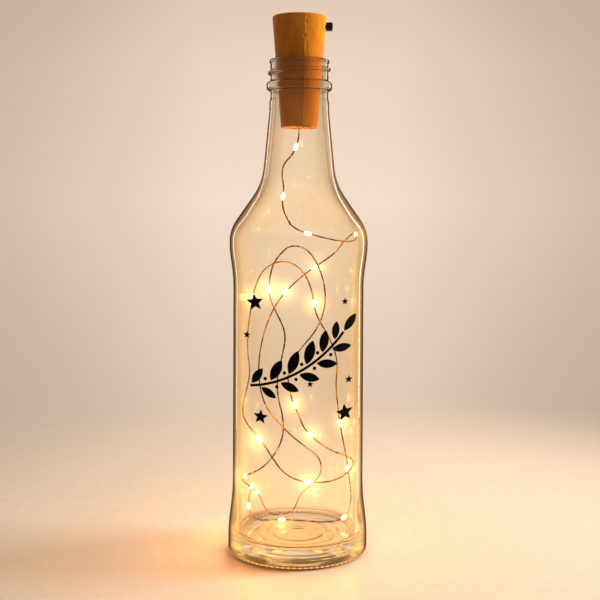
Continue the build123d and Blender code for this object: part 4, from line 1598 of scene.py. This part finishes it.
    def build_lower(self, finishes: Finishes) -> list[Piece]:
        """Build the stretch that winds down round the wall to the sealed end.

        Args:
            finishes: The light's finishes.

        Returns:
            The new pieces.
        """
        path = self.spline(self.lower_route)
        wire = self.strands("lower_twisted_wire", path, finishes.wire)
        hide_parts("wire_lower")
        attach(wire, Body.BOTTLE.value)
        drops = self.lower_drops()
        for drop in drops:
            dress(drop, finishes.glow)
        dress("led_chips_lower", finishes.chip)
        # The end seal holds no light, but is given the lit resin: a painted glow that also lights what is
        # around it.
        dress("wire_end_seal", finishes.glow)
        return [wire]

    def build_leads(self, finishes: Finishes) -> list[Piece]:
        """Build the slack leads between the stopper's collar and the battery case.

        Args:
            finishes: The light's finishes.

        Returns:
            The new pieces.
        """
        leads = self.strands("twisted_leads", self.spline(self.lead_route), finishes.wire)
        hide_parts("lead_wires")
        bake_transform(leads)
        return [leads]


@dataclass(frozen=True)
class Lamp:
    """One soft lamp: where it hangs, what it faces, its width and height, its watts and its colour."""

    name: str
    place: Point
    aim: Point
    size: Place
    power: float
    mirrored: bool = False
    colour: Colour = (1.0, 0.9, 0.78)

    def build(self) -> None:
        """Hang the lamp, which only glossy surfaces show, and only if it is mirrored."""
        data = bpy.data.lights.new(self.name, "AREA")
        data.shape = "RECTANGLE"
        data.size, data.size_y = self.size
        data.energy = self.power
        data.color = self.colour
        lamp = bpy.data.objects.new(self.name, data)
        way = Vector(self.aim) - Vector(self.place)
        turn = way.to_track_quat("-Z", "Y").to_matrix().to_4x4()
        lamp.matrix_world = Matrix.Translation(self.place) @ turn
        lamp.visible_camera = False
        lamp.visible_transmission = False
        lamp.visible_glossy = self.mirrored
        bpy.context.scene.collection.objects.link(lamp)


@dataclass
class Studio:
    """The pale backdrop and floor, the soft lamps and the camera.

    The backdrop's colours rise over the steepness of backdrop_rise, and fade to the sides by
    backdrop_sides. Glossy surfaces see it dimmer in front, from mirrored_front on.
    """

    floor_radius: float = 0.9
    floor_height: float = -0.05 * MM
    floor_fade: Place = (0.1, 0.42)
    floor_stops: Stops = ((0.3, (0.62, 0.5, 0.4)), (0.7, (0.655, 0.535, 0.43)))
    floor_scale: float = 220.0
    floor_roughness: float = 0.27
    floor_sides: int = 96
    camera_place: Point = (0.0007, -0.48, 0.15623)
    pitch: float = radians(5.2)
    roll: float = radians(0.258)
    lens: float = 65.34
    sensor: float = 36
    backdrop_rise: Place = (-0.36, 0.24)
    backdrop: Stops = (
        (0.0, (0.72, 0.54, 0.41)), (0.27, (0.753, 0.571, 0.44)), (0.6, (0.887, 0.723, 0.584)),
        (0.8, (0.835, 0.655, 0.512)), (0.9, (0.75, 0.58, 0.45)), (1.0, (0.65, 0.5, 0.385)),
    )
    backdrop_sides: tuple[Place, ...] = ((0.0, 1.03), (0.09, 1.0), (0.175, 0.85), (0.26, 0.73), (0.4, 0.7))
    mirrored_turn: Place = (-0.2, 0.35)
    mirrored_front: float = 0.18
    world_light: float = 0.2
    world_colour: Colour = (1.0, 0.9, 0.8)
    lamps: tuple[Lamp, ...] = (
        Lamp("right_strip", (0.5, 0.5, 0.3), (0, 0, 0.15), (0.06, 0.8), 0.9, mirrored=True),
        Lamp("left_strip", (-0.5, 0.52, 0.28), (0, 0, 0.12), (0.05, 0.8), 0.5, mirrored=True),
        Lamp("right_soft", (0.75, 0.12, 0.38), (0, 0, 0.15), (0.35, 0.6), 17.0),
        Lamp("top_back", (0.15, 0.55, 0.75), (0, 0, 0.2), (0.5, 0.2), 3.0),
        Lamp("front_soft", (-0.25, -0.9, 0.75), (0, 0, 0.13), (0.4, 0.3), 1.4, colour=(1.0, 0.95, 0.9)),
    )

    def build_camera(self) -> None:
        """Place the camera where the photograph was taken from."""
        data = bpy.data.cameras.new("camera")
        data.lens = self.lens
        data.sensor_width = self.sensor
        camera = bpy.data.objects.new("camera", data)
        turn = Matrix.Rotation(pi / 2 - self.pitch, 4, "X") @ Matrix.Rotation(self.roll, 4, "Z")
        camera.matrix_world = Matrix.Translation(self.camera_place) @ turn
        bpy.context.scene.collection.objects.link(camera)
        bpy.context.scene.camera = camera

    def build_world(self) -> None:
        """Paint a warm backdrop, brightest behind the bottle, and light everything softly."""
        world = bpy.data.worlds.new("studio")
        world.use_nodes = True
        bpy.context.scene.world = world
        sky = Nodes(world.node_tree)
        sky.tree.nodes.clear()
        way = sky.node("SeparateXYZ", Vector=sky.node("TexCoord").outputs["Generated"]).outputs
        colour = sky.ramp(sky.join("MapRange", way["Z"], *self.backdrop_rise), self.backdrop)
        sides = sky.levels(sky.join("Math", way["X"], operation="ABSOLUTE"), self.backdrop_sides)
        mirrored = sky.join("MapRange", way["Y"], *self.mirrored_turn, self.mirrored_front, 1.0)
        rays = sky.node("LightPath").outputs
        dimmed = sky.node("Mix", data_type="FLOAT", Factor=rays["Is Glossy Ray"], A=1.0, B=mirrored)
        strength = sky.join("Math", sides, dimmed.outputs["Result"], operation="MULTIPLY")
        shown = sky.join("Background", colour, strength)
        light = sky.join("Background", self.world_colour, self.world_light)
        seen = rays["Is Camera Ray"]
        for other in ("Is Glossy Ray", "Is Transmission Ray"):
            seen = sky.add(seen, rays[other])
        sky.feed(sky.join("MixShader", seen, light, shown), sky.node("OutputWorld").inputs["Surface"])

    def build_floor(self) -> None:
        """Lay a pale floor that fades into the backdrop."""
        work = bmesh.new()
        bmesh.ops.create_circle(work, cap_ends=True, segments=self.floor_sides, radius=self.floor_radius,
                                matrix=Matrix.Translation((0, 0, self.floor_height)))
        paint = Paint("pale_floor")
        distance = paint.node("VectorMath", operation="LENGTH", Vector=paint.coordinates()).outputs["Value"]
        fade = paint.join("MapRange", distance, *self.floor_fade, interpolation_type="SMOOTHSTEP")
        colour = paint.ramp(paint.noise(self.floor_scale, 4.0), self.floor_stops)
        paint.set(Base_Color=colour, Roughness=self.floor_roughness, Specular_IOR_Level=0.5)
        clear = paint.join("BsdfTransparent")
        paint.surface(paint.join("MixShader", fade, paint.shader.outputs["BSDF"], clear))
        make_piece("floor", plain_mesh(work, "floor"), paint.material)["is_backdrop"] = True

    def build(self) -> None:
        """Build the whole studio."""
        bpy.context.scene.view_settings.view_transform = "Standard"
        self.build_camera()
        self.build_world()
        self.build_floor()
        for lamp in self.lamps:
            lamp.build()


def main() -> None:
    """Build the studio and the light, and report each piece."""
    logging.basicConfig(level=logging.INFO, format="%(message)s")
    Studio().build()
    finishes = Finishes()
    string = LightString()
    pieces = [
        *string.build_upper(finishes), *string.build_lower(finishes), *string.build_leads(finishes),
        *Bottle().build(finishes, string.light_places()), *Stopper().build(finishes),
        *BatteryModule().build(finishes),
    ]
    for piece in pieces:
        low, high = (Vector(corner) for corner in (piece.bound_box[0], piece.bound_box[6]))
        size = " x ".join(f"{side / MM:.1f}" for side in high - low)
        log.info("%s: %s mm, %d faces", piece.name, size, len(piece.data.polygons))
    low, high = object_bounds()


if __name__ == "__main__":
    main()
